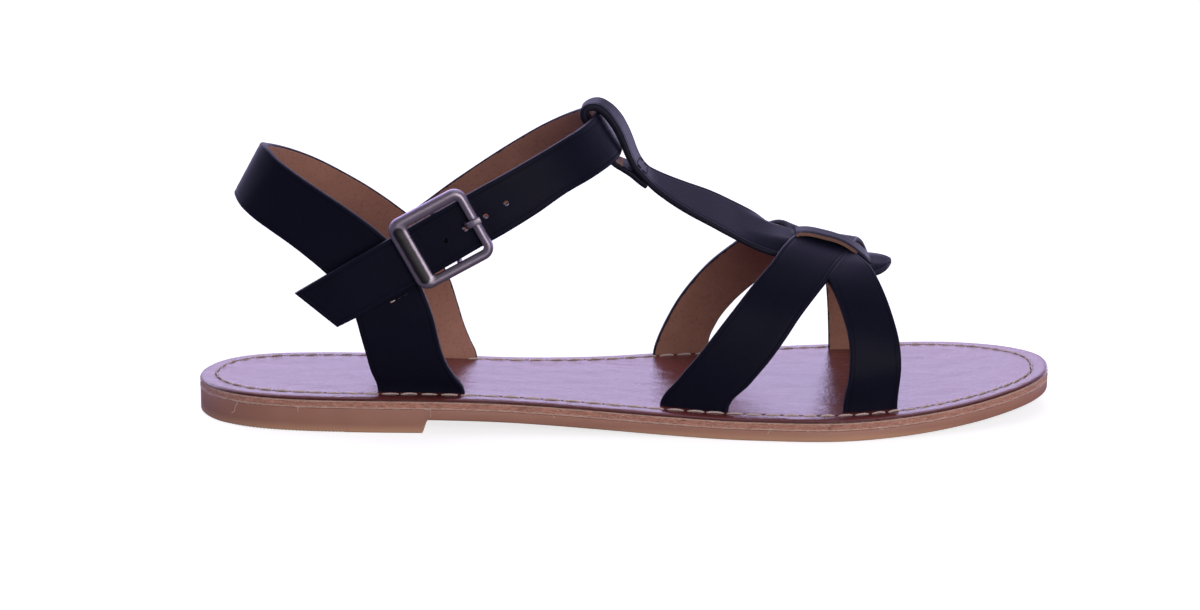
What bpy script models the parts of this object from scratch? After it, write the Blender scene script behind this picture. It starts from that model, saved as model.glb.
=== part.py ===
"""T-strap sandal, right shoe: moulded sole, board midsole, slotted insole, woven straps and buckle.

Axes: +X toe, +Y inner side of the foot, +Z up; origin under the middle of the sole on the floor.
Table lengths are millimetres, and x_heel is measured forward from the back of the heel.
"""

import math

import bpy
import numpy as np
from mathutils import Matrix, Vector

MM = 0.001

# Sole
SOLE_LENGTH = 250.0
HEEL_BREAST = 66.8
HEEL_BLOCK_DROP = 3.9
HEEL_STEP_RUN = 1.2
ARCH_END = 160.0
TOE_ROCKER_START = 187.0
TOE_SPRING = 5.5
RUBBER_THICKNESS = 3.3
BOARD_THICKNESS = 1.9
COVER_THICKNESS = 1.1
LAYER_GAP = 0.15
SOLE_STATIONS = 64

# Straps
STRAP_THICKNESS = 1.9
TONGUE_THICKNESS = 1.7
CHAPE_THICKNESS = 1.2
SLOT_CLEARANCE = 0.45

# Buckle, measured from the middle of its opening along and across the ankle strap
BUCKLE_CENTRE = (73.5, -38.8, 58.5)
BUCKLE_TILT = 28.8
FRAME_REAR = -13.0
FRAME_FRONT = 11.55
FRAME_LOW = -10.9
FRAME_HIGH = 11.6
OPENING_REAR = -7.75
OPENING_FRONT = 8.85
OPENING_LOW = -7.85
OPENING_HIGH = 8.2
FRAME_CORNER = 3.8
OPENING_CORNER = 1.1
FRAME_LIFT = 0.35
FRAME_THICKNESS = 2.4
BAR_RADIUS = 0.8
BAR_DEPTH = -4.6
PRONG_RADIUS = 0.6
HOLE_RADIUS = 0.9
HOLE_PITCH = 6.9
PRONG_HOLE = 7.2
PRONG_HOLE_RADIUS = 1.3

OUTLINE_COLUMNS = ("x_heel", "y_outer", "y_inner")
OUTLINE = (
    (0.0, -5.5, -5.5),
    (1.3, -12.6, 2.4),
    (4.2, -18.6, 8.4),
    (9.5, -24.4, 13.8),
    (18.0, -29.4, 17.5),
    (31.0, -32.8, 19.0),
    (48.0, -34.5, 18.6),
    (70.0, -35.3, 16.4),
    (95.0, -35.3, 17.0),
    (117.0, -37.0, 23.0),
    (138.0, -39.7, 32.0),
    (162.0, -43.3, 39.2),
    (183.0, -44.7, 43.3),
    (203.0, -40.6, 44.7),
    (222.0, -33.2, 40.6),
    (236.0, -24.6, 31.0),
    (245.0, -15.8, 19.6),
    (248.9, -7.8, 10.6),
    (250.0, 1.5, 1.5),
)

HEEL_STRAP_COLUMNS = ("x_top", "y_top", "z_top", "x_low", "y_low", "z_low")
HEEL_STRAP = (
    (78.7, -29.0, 9.3, 53.5, -28.0, 9.6),
    (78.6, -29.0, 10.4, 53.4, -28.0, 11.0),
    (76.0, -31.0, 15.1, 51.6, -30.4, 17.0),
    (73.7, -32.6, 19.4, 50.2, -32.6, 23.4),
    (72.2, -33.7, 23.8, 49.0, -33.8, 28.6),
    (71.2, -34.4, 28.4, 47.9, -34.2, 33.2),
    (70.0, -34.9, 34.0, 46.2, -34.2, 37.4),
    (68.2, -35.0, 39.6, 44.0, -33.8, 41.2),
    (65.3, -35.0, 46.2, 41.2, -33.2, 44.7),
    (61.2, -35.0, 52.4, 38.2, -32.5, 47.5),
    (55.0, -34.5, 58.7, 34.0, -31.3, 50.8),
    (46.6, -32.8, 64.9, 28.8, -29.3, 54.4),
    (37.6, -29.4, 70.3, 23.3, -26.4, 57.6),
    (30.2, -25.4, 74.5, 17.8, -22.4, 60.6),
    (24.4, -20.6, 77.9, 14.0, -18.0, 63.0),
    (20.9, -15.0, 80.2, 12.0, -13.0, 64.5),
    (19.6, -8.6, 80.3, 11.2, -8.0, 64.9),
    (20.2, -2.6, 79.0, 11.9, -3.0, 64.2),
    (22.6, 2.9, 77.4, 13.9, 1.8, 62.8),
    (27.1, 7.6, 75.1, 17.8, 6.4, 60.2),
    (33.8, 11.8, 71.5, 23.4, 10.4, 56.8),
    (41.6, 15.2, 66.6, 29.4, 13.4, 53.1),
    (50.0, 17.7, 60.9, 34.8, 15.5, 49.2),
    (57.4, 18.8, 55.3, 39.4, 16.9, 45.7),
    (62.4, 19.3, 51.0, 42.7, 17.8, 42.6),
    (66.8, 19.7, 44.5, 45.6, 18.3, 39.0),
    (70.0, 19.9, 38.6, 47.8, 18.6, 35.2),
    (72.9, 19.9, 32.2, 49.8, 18.5, 30.6),
    (75.0, 19.4, 25.2, 51.6, 17.8, 25.4),
    (77.0, 18.0, 18.5, 53.6, 16.0, 19.4),
    (79.2, 15.6, 13.6, 55.4, 13.8, 14.0),
    (80.9, 13.2, 10.4, 56.4, 12.4, 10.9),
    (81.0, 13.2, 9.25, 56.5, 12.4, 9.6),
)

ANKLE_STRAP_COLUMNS = ("x_up", "y_up", "z_up", "x_low", "y_low", "z_low")
ANKLE_STRAP = (
    (49.4, 21.2, 45.8, 56.9, 22.0, 32.8),
    (57.4, 21.9, 50.5, 64.9, 22.3, 37.6),
    (65.1, 22.2, 55.9, 72.8, 22.4, 42.9),
    (72.3, 22.1, 61.3, 80.2, 22.2, 48.4),
    (79.5, 21.6, 66.4, 87.7, 21.4, 53.8),
    (86.7, 20.6, 71.4, 95.0, 20.4, 59.0),
    (93.9, 19.0, 76.2, 102.2, 18.6, 63.9),
    (101.3, 15.9, 81.0, 109.3, 15.4, 68.4),
    (108.1, 11.4, 85.0, 116.0, 11.0, 72.4),
    (113.8, 5.2, 88.1, 121.9, 5.0, 75.7),
    (117.0, -1.4, 89.4, 124.2, -1.6, 77.4),
    (117.3, -8.0, 89.4, 124.4, -8.4, 77.7),
    (116.1, -14.6, 88.8, 123.5, -15.2, 77.1),
    (112.6, -22.0, 87.1, 120.4, -21.4, 75.5),
    (107.7, -27.7, 85.0, 115.4, -27.6, 73.3),
    (100.4, -32.6, 81.4, 108.2, -32.6, 70.0),
    (92.2, -35.9, 77.3, 100.2, -35.8, 65.2),
    (83.6, -37.8, 72.8, 91.6, -37.8, 60.3),
    (75.0, -38.6, 68.0, 82.6, -38.6, 55.2),
    (66.0, -38.8, 63.0, 73.5, -38.8, 50.0),
    (57.0, -38.8, 57.8, 64.4, -38.8, 44.7),
    (48.0, -38.8, 52.4, 55.6, -38.8, 39.3),
    (39.2, -38.5, 47.1, 49.2, -38.8, 35.5),
    (30.7, -37.7, 41.9, 42.8, -38.4, 32.1),
)

T_STRAP_COLUMNS = ("x_near", "y_near", "z_near", "x_far", "y_far", "z_far")
T_STRAP = (
    (130.7, -12.0, 66.7, 131.6, -2.0, 68.3),
    (128.5, -12.0, 68.3, 129.2, -2.0, 69.9),
    (126.3, -12.0, 70.2, 126.9, -2.0, 71.6),
    (123.6, -12.0, 72.0, 123.8, -2.0, 72.8),
    (121.2, -12.0, 73.6, 121.1, -2.0, 74.0),
    (119.2, -12.0, 76.1, 119.1, -2.0, 76.3),
    (116.5, -12.0, 80.4, 116.5, -2.0, 80.5),
    (113.8, -12.0, 84.7, 113.9, -2.0, 84.7),
    (111.9, -12.0, 87.7, 112.4, -2.0, 87.6),
    (111.9, -12.0, 90.0, 112.6, -2.0, 90.1),
    (113.7, -12.0, 91.6, 114.8, -2.0, 91.8),
    (116.6, -12.0, 91.8, 117.7, -2.0, 92.2),
    (119.4, -12.0, 90.0, 120.8, -2.0, 90.7),
    (122.0, -12.0, 86.8, 123.9, -2.0, 87.6),
    (123.9, -12.0, 83.6, 126.0, -2.0, 84.0),
    (125.4, -12.0, 80.0, 127.5, -2.0, 80.4),
    (126.7, -12.0, 76.7, 128.7, -2.0, 77.0),
    (128.4, -12.0, 73.4, 130.0, -1.8, 74.3),
    (130.9, -12.0, 70.6, 131.8, -1.0, 71.9),
    (133.6, -12.3, 68.0, 134.2, 0.2, 70.3),
    (137.2, -13.3, 65.5, 137.4, 2.0, 68.5),
    (143.0, -14.7, 61.9, 143.0, 4.7, 65.7),
    (150.0, -15.6, 58.2, 150.0, 7.1, 62.5),
    (157.0, -15.4, 54.3, 157.0, 8.6, 58.9),
    (163.5, -14.6, 50.6, 163.5, 9.0, 55.3),
    (168.0, -14.0, 48.6, 168.0, 9.5, 52.6),
    (172.5, -13.6, 47.3, 172.5, 9.8, 50.2),
    (178.0, -13.0, 45.8, 178.0, 10.2, 48.3),
    (184.5, -12.4, 44.0, 184.5, 10.4, 46.4),
    (191.0, -11.4, 42.2, 191.0, 10.0, 44.6),
    (196.0, -9.8, 41.3, 196.0, 8.6, 43.7),
    (199.4, -7.0, 41.2, 199.6, 7.0, 43.6),
    (201.8, -3.4, 41.9, 202.0, 4.6, 43.5),
    (203.2, 0.2, 42.9, 203.3, 2.2, 43.3),
)

BRIDGE_COLUMNS = ("x_near", "y_near", "z_near", "x_far", "y_far", "z_far")
BRIDGE = (
    (163.0, -7.0, 52.0, 163.0, 3.5, 54.0),
    (167.0, -7.1, 51.3, 167.0, 3.5, 52.7),
    (171.0, -6.7, 51.8, 171.0, 3.6, 52.1),
    (174.5, -5.5, 52.7, 174.5, 3.6, 52.2),
    (177.8, -4.7, 52.7, 177.8, 3.3, 52.7),
    (183.1, -4.5, 51.6, 183.3, 3.2, 51.8),
    (188.6, -4.5, 49.9, 188.8, 3.2, 50.1),
    (191.6, -4.5, 48.1, 192.0, 3.2, 48.6),
    (194.0, -4.6, 46.2, 194.4, 3.2, 46.9),
    (196.8, -4.6, 43.6, 197.2, 3.2, 44.6),
    (199.4, -4.0, 42.1, 199.8, 3.0, 43.2),
    (201.2, -3.0, 41.6, 201.4, 2.4, 42.8),
)

REAR_VAMP_COLUMNS = ("x_rear", "y_rear", "z_rear", "x_front", "y_front", "z_front")
REAR_VAMP_STRAP = (
    (134.6, -31.2, 6.3, 154.0, -36.8, 5.7),
    (134.7, -31.2, 7.6, 154.1, -36.8, 7.2),
    (140.2, -33.4, 16.0, 160.4, -37.4, 15.0),
    (146.3, -34.2, 23.7, 166.4, -36.9, 22.3),
    (151.2, -33.6, 30.2, 171.0, -35.4, 28.6),
    (155.8, -31.9, 36.0, 174.8, -33.0, 34.0),
    (161.4, -27.6, 42.4, 179.4, -28.7, 39.3),
    (166.7, -21.4, 47.2, 183.6, -22.6, 43.1),
    (170.0, -14.6, 50.1, 186.8, -15.4, 45.5),
    (172.6, -8.4, 51.4, 189.4, -8.8, 46.5),
    (175.0, -2.6, 51.9, 191.2, -2.8, 47.0),
    (177.2, 3.6, 51.7, 192.6, 4.0, 47.8),
    (179.3, 9.8, 50.2, 194.0, 10.6, 47.7),
    (181.3, 15.8, 47.5, 195.8, 15.6, 45.8),
    (183.3, 22.0, 43.2, 197.8, 20.6, 41.4),
    (185.0, 28.2, 36.6, 199.8, 27.4, 35.2),
    (186.3, 33.6, 27.6, 201.8, 33.4, 26.0),
    (187.1, 37.0, 17.4, 203.1, 36.6, 16.4),
    (187.4, 38.0, 7.8, 203.6, 37.9, 8.2),
    (187.4, 38.0, 5.7, 203.6, 37.9, 6.1),
)

FRONT_VAMP_COLUMNS = ("x_front", "y_front", "z_front", "x_rear", "y_rear", "z_rear")
FRONT_VAMP_STRAP = (
    (203.4, -33.0, 6.1, 187.6, -36.7, 5.7),
    (203.4, -33.0, 7.8, 187.6, -36.7, 7.4),
    (204.2, -34.0, 19.0, 189.0, -37.4, 17.0),
    (203.7, -31.4, 26.6, 189.2, -34.9, 26.8),
    (201.8, -26.4, 33.8, 187.4, -30.4, 34.8),
    (199.0, -19.2, 40.0, 183.8, -23.4, 42.6),
    (196.6, -12.8, 43.2, 180.2, -16.6, 45.9),
    (193.8, -7.0, 44.9, 177.6, -9.8, 48.0),
    (190.8, -1.2, 46.4, 175.8, -3.6, 49.6),
    (187.4, 4.8, 48.0, 174.4, 3.0, 50.8),
    (183.6, 10.6, 48.2, 173.2, 9.0, 52.4),
    (178.8, 16.4, 45.0, 170.4, 13.4, 52.6),
    (172.4, 21.6, 39.0, 164.8, 17.6, 49.6),
    (165.2, 26.2, 31.6, 157.4, 21.6, 43.6),
    (158.0, 30.2, 24.0, 148.8, 26.0, 35.2),
    (152.6, 32.9, 16.2, 139.6, 28.6, 22.4),
    (150.0, 33.9, 8.0, 133.5, 28.2, 8.0),
    (149.9, 33.9, 5.9, 133.4, 28.2, 6.4),
)

CHAPE_COLUMNS = ("along", "out")
CHAPE_PATH = (
    (-29.0, -2.25),
    (-20.0, -2.25),
    (-10.0, -2.25),
    (-3.0, -2.25),
    (0.0, -2.3),
    (1.65, -2.95),
    (2.3, -4.6),
    (1.65, -6.25),
    (0.0, -6.95),
    (-2.2, -6.6),
    (-5.0, -5.35),
    (-7.6, -5.1),
)
CHAPE_HALF_WIDTH = 6.0
PRONG_SLOT = (-2.5, 4.0, 2.5)

PRONG_COLUMNS = ("along", "out")
PRONG_PATH = (
    (-0.4, -6.3),
    (-1.35, -5.6),
    (-1.72, -4.6),
    (-1.3, -3.4),
    (0.0, -2.85),
    (2.4, -2.9),
    (4.6, -2.95),
    (6.2, -2.9),
    (6.95, -2.1),
    (7.2, -0.8),
    (7.35, 0.6),
    (7.7, 2.0),
    (8.5, 3.3),
    (9.8, 3.75),
    (11.0, 3.75),
    (12.1, 3.6),
)
PRONG_SIDE = 0.9

# (rgb, roughness, metallic) of each piece
LOOKS = {
    "outsole": ((0.30, 0.145, 0.085), 0.55, 0.0),
    "midsole": ((0.33, 0.15, 0.09), 0.85, 0.0),
    "insole": ((0.16, 0.045, 0.035), 0.35, 0.0),
    "upper_front_straps": ((0.012, 0.011, 0.022), 0.45, 0.0),
    "upper_heel_strap": ((0.012, 0.011, 0.022), 0.45, 0.0),
    "upper_ankle_strap": ((0.012, 0.011, 0.022), 0.45, 0.0),
    "buckle_strap": ((0.012, 0.011, 0.022), 0.45, 0.0),
    "buckle_frame": ((0.22, 0.18, 0.21), 0.32, 1.0),
    "buckle_prong": ((0.22, 0.18, 0.21), 0.32, 1.0),
}


def clear_scene():
    for obj in list(bpy.data.objects):
        bpy.data.objects.remove(obj, do_unlink=True)


def material(name):
    rgb, roughness, metallic = LOOKS[name]
    mat = bpy.data.materials.new(name)
    mat.use_nodes = True
    shader = mat.node_tree.nodes["Principled BSDF"]
    shader.inputs["Base Color"].default_value = (*rgb, 1.0)
    shader.inputs["Roughness"].default_value = roughness
    shader.inputs["Metallic"].default_value = metallic
    return mat


def make_object(name, points, faces):
    """Object from points in millimetres; x counts from the heel."""
    placed = np.asarray(points, dtype=float) - (SOLE_LENGTH / 2.0, 0.0, 0.0)
    mesh = bpy.data.meshes.new(name)
    mesh.from_pydata((placed * MM).tolist(), [], [list(face) for face in faces])
    mesh.validate()
    obj = bpy.data.objects.new(name, mesh)
    bpy.context.scene.collection.objects.link(obj)
    return obj


def finish(obj):
    obj.data.materials.clear()
    obj.data.materials.append(material(obj.name))
    for polygon in obj.data.polygons:
        polygon.use_smooth = True
    return obj


def smooth_step(t):
    t = min(max(t, 0.0), 1.0)
    return t * t * (3.0 - 2.0 * t)


def resample(rows, count):
    """Smooth curve through the table's rows at count equal steps of its middle line."""
    rows = np.asarray(rows, dtype=float)
    half = rows.shape[1] // 2
    if rows.shape[1] == 6:
        middle = (rows[:, :half] + rows[:, half:]) / 2.0
    else:
        middle = rows
    steps = np.linalg.norm(np.diff(middle, axis=0), axis=1)
    lengths = np.concatenate(([0.0], np.cumsum(steps)))
    slopes = np.gradient(rows, lengths, axis=0)
    wanted = np.linspace(0.0, lengths[-1], count)
    index = np.clip(np.searchsorted(lengths, wanted) - 1, 0, len(rows) - 2)
    span = (lengths[index + 1] - lengths[index])[:, None]
    t = (wanted[:, None] - lengths[index][:, None]) / span
    start = (2 * t**3 - 3 * t**2 + 1) * rows[index]
    leave = (t**3 - 2 * t**2 + t) * span * slopes[index]
    end = (3 * t**2 - 2 * t**3) * rows[index + 1]
    arrive = (t**3 - t**2) * span * slopes[index + 1]
    return start + leave + end + arrive


def sole_edges(x):
    """Outer and inner edge of the sole at distance x from the heel."""
    table = np.asarray(OUTLINE)
    turns = np.arccos(1.0 - 2.0 * table[:, 0] / SOLE_LENGTH)
    turn = math.acos(1.0 - 2.0 * min(max(x / SOLE_LENGTH, 0.0), 1.0))
    edges = []
    for column in (1, 2):
        slopes = np.gradient(table[:, column], turns)
        i = int(np.clip(np.searchsorted(turns, turn) - 1, 0, len(turns) - 2))
        span = turns[i + 1] - turns[i]
        t = (turn - turns[i]) / span
        value = (2 * t**3 - 3 * t**2 + 1) * table[i, column]
        value += (t**3 - 2 * t**2 + t) * span * slopes[i]
        value += (3 * t**2 - 2 * t**3) * table[i + 1, column]
        value += (t**3 - t**2) * span * slopes[i + 1]
        edges.append(value)
    return edges


def arch_rise(x):
    """Height of the sheet's underside over the floor, without the heel block."""
    if x > TOE_ROCKER_START:
        reach = (x - TOE_ROCKER_START) / (SOLE_LENGTH - TOE_ROCKER_START)
        return TOE_SPRING * reach**2
    start = HEEL_BREAST - 5.0
    return HEEL_BLOCK_DROP * (1.0 - smooth_step((x - start) / (ARCH_END - start)))


def tread_height(x):
    """Underside of the outsole: heel block on the floor, step, arch, ball and rocker."""
    over_step = (x - HEEL_BREAST) / HEEL_STEP_RUN
    return arch_rise(x) * min(max(over_step, 0.0), 1.0)


def sole_stations():
    turns = np.linspace(0.0, math.pi, SOLE_STATIONS + 1)
    stations = list((1.0 - np.cos(turns)) * SOLE_LENGTH / 2.0)
    stations += [HEEL_BREAST, HEEL_BREAST + HEEL_STEP_RUN]
    stations.append(TOE_ROCKER_START)
    return sorted(stations)


def sole_layer(name, low, high):
    """Layer of the sole between two height functions, one ring per station."""
    points = []
    faces = []
    stations = sole_stations()
    inner = stations[1:-1]
    for x in inner:
        outer_y, inner_y = sole_edges(x)
        points += [(x, outer_y, low(x)), (x, inner_y, low(x))]
        points += [(x, inner_y, high(x)), (x, outer_y, high(x))]
    for ring in range(len(inner) - 1):
        for side in range(4):
            a = ring * 4 + side
            b = ring * 4 + (side + 1) % 4
            faces.append((a, a + 4, b + 4, b))
    last = (len(inner) - 1) * 4
    for x, ring, turned in ((stations[0], 0, False), (stations[-1], last, True)):
        y = sole_edges(x)[0]
        tip = len(points)
        points += [(x, y, low(x)), (x, y, high(x))]
        cap = [
            (ring, ring + 1, tip),
            (ring + 1, ring + 2, tip + 1, tip),
            (ring + 2, ring + 3, tip + 1),
            (ring + 3, ring, tip, tip + 1),
        ]
        faces += [face[::-1] for face in cap] if turned else cap
    return make_object(name, points, faces)


def rubber_top(x):
    return arch_rise(x) + RUBBER_THICKNESS


def board_low(x):
    return rubber_top(x) + LAYER_GAP


def board_top(x):
    return board_low(x) + BOARD_THICKNESS


def cover_low(x):
    return board_top(x) + LAYER_GAP


def cover_top(x):
    return cover_low(x) + COVER_THICKNESS


def unit(vectors):
    return vectors / np.linalg.norm(vectors, axis=1)[:, None]


def ribbon_mesh(rows, count, thickness, side, columns=4):
    """Points and faces of a strap whose grain side runs between the table's two edges."""
    edges = resample(rows, count)
    left = edges[:, :3]
    right = edges[:, 3:]
    middle = (left + right) / 2.0
    along = unit(np.gradient(middle, axis=0))
    normal = unit(np.cross(along, unit(right - left))) * side
    shares = np.linspace(0.0, 1.0, columns + 1)
    outer = [left + (right - left) * share for share in shares]
    inner = [line - normal * thickness for line in outer]
    section = np.array(outer + inner[::-1]).transpose(1, 0, 2)
    return section


def loft(section):
    """Closed solid through equal sections, each a loop of an even number of points."""
    rings, size = section.shape[:2]
    faces = []
    for ring in range(rings - 1):
        for k in range(size):
            a = ring * size + k
            b = ring * size + (k + 1) % size
            faces.append((a, b, b + size, a + size))
    half = size // 2
    end = (rings - 1) * size
    for k in range(half - 1):
        quad = (k, k + 1, size - 2 - k, size - 1 - k)
        faces.append(quad[::-1])
        faces.append(tuple(end + v for v in quad))
    return section.reshape(-1, 3), faces


def outward(obj):
    """Turn the faces of a closed solid outward."""
    mesh = obj.data
    volume = 0.0
    for polygon in mesh.polygons:
        corners = [mesh.vertices[v].co for v in polygon.vertices]
        for b, c in zip(corners[1:], corners[2:]):
            volume += corners[0].dot(b.cross(c))
    if volume < 0.0:
        mesh.flip_normals()
    return obj


def ribbon(name, rows, count, thickness, side, columns=4):
    section = ribbon_mesh(rows, count, thickness, side, columns)
    return outward(make_object(name, *loft(section)))


def combine(obj, other, operation):
    """Join or cut one solid with another and drop the other."""
    bool_mod = obj.modifiers.new("bool", "BOOLEAN")
    bool_mod.operation = operation
    bool_mod.solver = "EXACT"
    bool_mod.object = other
    depsgraph = bpy.context.evaluated_depsgraph_get()
    result = bpy.data.meshes.new_from_object(obj.evaluated_get(depsgraph))
    obj.modifiers.clear()
    obj.data = result
    bpy.data.objects.remove(other, do_unlink=True)
    return obj


def strap_slot(name, row, thickness):
    """Cutter for the slot that a strap's foot goes down through."""
    left = np.array(row[:3])
    right = np.array(row[3:])
    run = (right - left) / np.linalg.norm(right - left)
    run[2] = 0.0
    across = np.array((-run[1], run[0], 0.0))
    inward = across if across[1] * left[1] < 0.0 else -across
    spare = SLOT_CLEARANCE
    ends = (left - run * spare, right + run * spare)
    loop = [end - inward * spare for end in ends]
    loop += [end + inward * (thickness + spare) for end in ends[::-1]]
    section = np.array([[(p[0], p[1], z) for p in loop] for z in (2.0, 14.0)])
    return outward(make_object(name, *loft(section)))


def build_sole():
    outsole = sole_layer("outsole", tread_height, rubber_top)
    midsole = sole_layer("midsole", board_low, board_top)
    insole = sole_layer("insole", cover_low, cover_top)
    for table in (HEEL_STRAP, REAR_VAMP_STRAP, FRONT_VAMP_STRAP):
        for row in (table[0], table[-1]):
            combine(insole, strap_slot("slot", row, STRAP_THICKNESS), "DIFFERENCE")
    for obj in (outsole, midsole, insole):
        finish(outward(obj))


def build_front_straps():
    """T-strap with its loop, the two vamp straps and the bridge, fused where they cross."""
    straps = ribbon("upper_front_straps", T_STRAP, 96, TONGUE_THICKNESS, 1.0)
    front = ribbon("front_vamp", FRONT_VAMP_STRAP, 44, STRAP_THICKNESS, 1.0)
    rear = ribbon("rear_vamp", REAR_VAMP_STRAP, 44, STRAP_THICKNESS, -1.0)
    bridge = ribbon("bridge", BRIDGE, 24, TONGUE_THICKNESS, 1.0, 2)
    for piece in (front, rear, bridge):
        combine(straps, piece, "UNION")
    finish(straps)


def buckle_matrix():
    """From buckle axes (along strap, across strap, outward) to the shoe in millimetres."""
    turn = math.radians(BUCKLE_TILT)
    along = Vector((math.cos(turn), 0.0, math.sin(turn)))
    across = Vector((-math.sin(turn), 0.0, math.cos(turn)))
    out = Vector((0.0, -1.0, 0.0))
    axes = Matrix((along, across, out)).transposed().to_4x4()
    return Matrix.Translation(Vector(BUCKLE_CENTRE)) @ axes


def to_shoe(points):
    matrix = buckle_matrix()
    return np.array([tuple(matrix @ Vector(p)) for p in points])


def rounded_loop(rear, front, low, high, radius, out):
    """Rounded rectangle in buckle axes."""
    loop = []
    corners = ((front, low, -90), (front, high, 0), (rear, high, 90), (rear, low, 180))
    for corner_u, corner_v, start in corners:
        middle_u = corner_u - math.copysign(radius, corner_u)
        middle_v = corner_v - math.copysign(radius, corner_v)
        for step in range(6):
            angle = math.radians(start + 18.0 * step)
            u = middle_u + radius * math.cos(angle)
            v = middle_v + radius * math.sin(angle)
            loop.append((u, v, out))
    return loop


def frame_loops():
    """Section loops of the buckle frame, round its outside, over its face and back inside."""
    low = FRAME_LIFT
    high = FRAME_LIFT + FRAME_THICKNESS
    outer_steps = ((0.4, low), (0.0, low + 0.5), (0.0, high - 1.0), (0.4, high - 0.3), (1.0, high))
    inner_steps = ((0.8, high), (0.25, high - 0.3), (0.0, high - 0.9), (0.0, low + 0.4), (0.3, low))
    loops = []
    for inset, out in outer_steps:
        sides = (FRAME_REAR + inset, FRAME_FRONT - inset, FRAME_LOW + inset, FRAME_HIGH - inset)
        loops.append(rounded_loop(*sides, FRAME_CORNER - inset, out))
    for inset, out in inner_steps:
        sides = (OPENING_REAR - inset, OPENING_FRONT + inset)
        sides += (OPENING_LOW - inset, OPENING_HIGH + inset)
        loops.append(rounded_loop(*sides, OPENING_CORNER + inset, out))
    return loops


def tube(name, path, radius, sides, wide=1.0):
    """Round bar along a path in buckle axes."""
    path = np.asarray(path, dtype=float)
    along = unit(np.gradient(path, axis=0))
    section = []
    for point, axis in zip(path, along):
        lead = Vector(axis)
        flat = Vector((0.0, 0.0, 1.0)) if abs(axis[2]) < 0.8 else Vector((1.0, 0.0, 0.0))
        side = lead.cross(Vector((0.0, 1.0, 0.0)) if abs(axis[1]) < 0.5 else flat).normalized()
        other = lead.cross(side).normalized()
        ring = []
        for k in range(sides):
            angle = 2.0 * math.pi * (k + 0.5) / sides
            offset = side * math.cos(angle) * radius + other * math.sin(angle) * radius * wide
            ring.append(tuple(Vector(point) + offset))
        section.append(ring)
    points, faces = loft(np.array(section))
    return outward(make_object(name, to_shoe(points), faces))


def build_frame():
    """Square frame and the centre bar that hangs behind the strap."""
    loops = frame_loops()
    size = len(loops[0])
    points = [point for loop in loops for point in loop]
    faces = []
    for ring in range(len(loops)):
        after = (ring + 1) % len(loops)
        for k in range(size):
            follow = (k + 1) % size
            quad = (ring * size + k, ring * size + follow, after * size + follow, after * size + k)
            faces.append(quad)
    frame = outward(make_object("buckle_frame", to_shoe(points), faces))
    high = FRAME_HIGH - 1.9
    low = FRAME_LOW + 1.7
    rise = FRAME_LIFT + 1.2
    path = [(0.0, low, rise), (0.0, low, -1.5), (0.0, low + 0.15, BAR_DEPTH + 1.2)]
    path += [(0.0, low + 0.7, BAR_DEPTH + 0.2), (0.0, low + 1.7, BAR_DEPTH)]
    path += [(0.0, 0.0, BAR_DEPTH), (0.0, high - 1.7, BAR_DEPTH)]
    path += [(0.0, high - 0.7, BAR_DEPTH + 0.2), (0.0, high - 0.15, BAR_DEPTH + 1.2)]
    path += [(0.0, high, -1.5), (0.0, high, rise)]
    finish(combine(frame, tube("bar", path, BAR_RADIUS, 10), "UNION"))


def build_prong():
    flat = resample(PRONG_PATH, 34)
    path = [(u, PRONG_SIDE, out) for u, out in flat]
    finish(tube("buckle_prong", path, PRONG_RADIUS, 8, 1.25))


def box(name, low, high):
    """Box in buckle axes."""
    loop = ((low[0], low[1]), (high[0], low[1]), (high[0], high[1]), (low[0], high[1]))
    section = [[(u, v, out) for u, v in loop] for out in (low[2], high[2])]
    points, faces = loft(np.array(section))
    return outward(make_object(name, to_shoe(points), faces))


def build_chape():
    """Short strap sewn on the heel strap, folded round the centre bar and slotted for the prong."""
    flat = resample(CHAPE_PATH, 40)
    rows = [(u, -CHAPE_HALF_WIDTH, out, u, CHAPE_HALF_WIDTH, out) for u, out in flat]
    section = ribbon_mesh(rows, 40, CHAPE_THICKNESS, 1.0, 2)
    points, faces = loft(section)
    chape = outward(make_object("buckle_strap", to_shoe(points), faces))
    rear, front, half = PRONG_SLOT
    low = (rear, PRONG_SIDE - half / 2.0, -8.0)
    high = (front, PRONG_SIDE + half / 2.0, 0.0)
    finish(combine(chape, box("prong_slot", low, high), "DIFFERENCE"))


def build_heel_strap():
    finish(ribbon("upper_heel_strap", HEEL_STRAP, 84, STRAP_THICKNESS, 1.0))


def build_ankle_strap():
    """Ankle strap with its row of punched holes."""
    strap = ribbon("upper_ankle_strap", ANKLE_STRAP, 76, STRAP_THICKNESS, 1.0)
    for place in range(-1, 3):
        u = PRONG_HOLE + place * HOLE_PITCH
        radius = HOLE_RADIUS if place else PRONG_HOLE_RADIUS
        path = [(u, PRONG_SIDE, -5.0), (u, PRONG_SIDE, 3.0)]
        combine(strap, tube("punch", path, radius, 10), "DIFFERENCE")
    finish(strap)


def main():
    clear_scene()
    build_sole()
    build_front_straps()
    build_heel_strap()
    build_ankle_strap()
    build_frame()
    build_prong()
    build_chape()


main()
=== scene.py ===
"""T-strap sandal for the right foot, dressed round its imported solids.

Axes: +X toe, +Y inner side of the foot, +Z up. Tables are in millimetres, x counted from the back
of the heel, and each row of a strap's table gives its two edges on the grain side.
"""

import math

import bpy
import numpy as np
from bpy.props import FloatProperty, FloatVectorProperty, IntProperty, PointerProperty
from mathutils import Matrix, Vector


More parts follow.
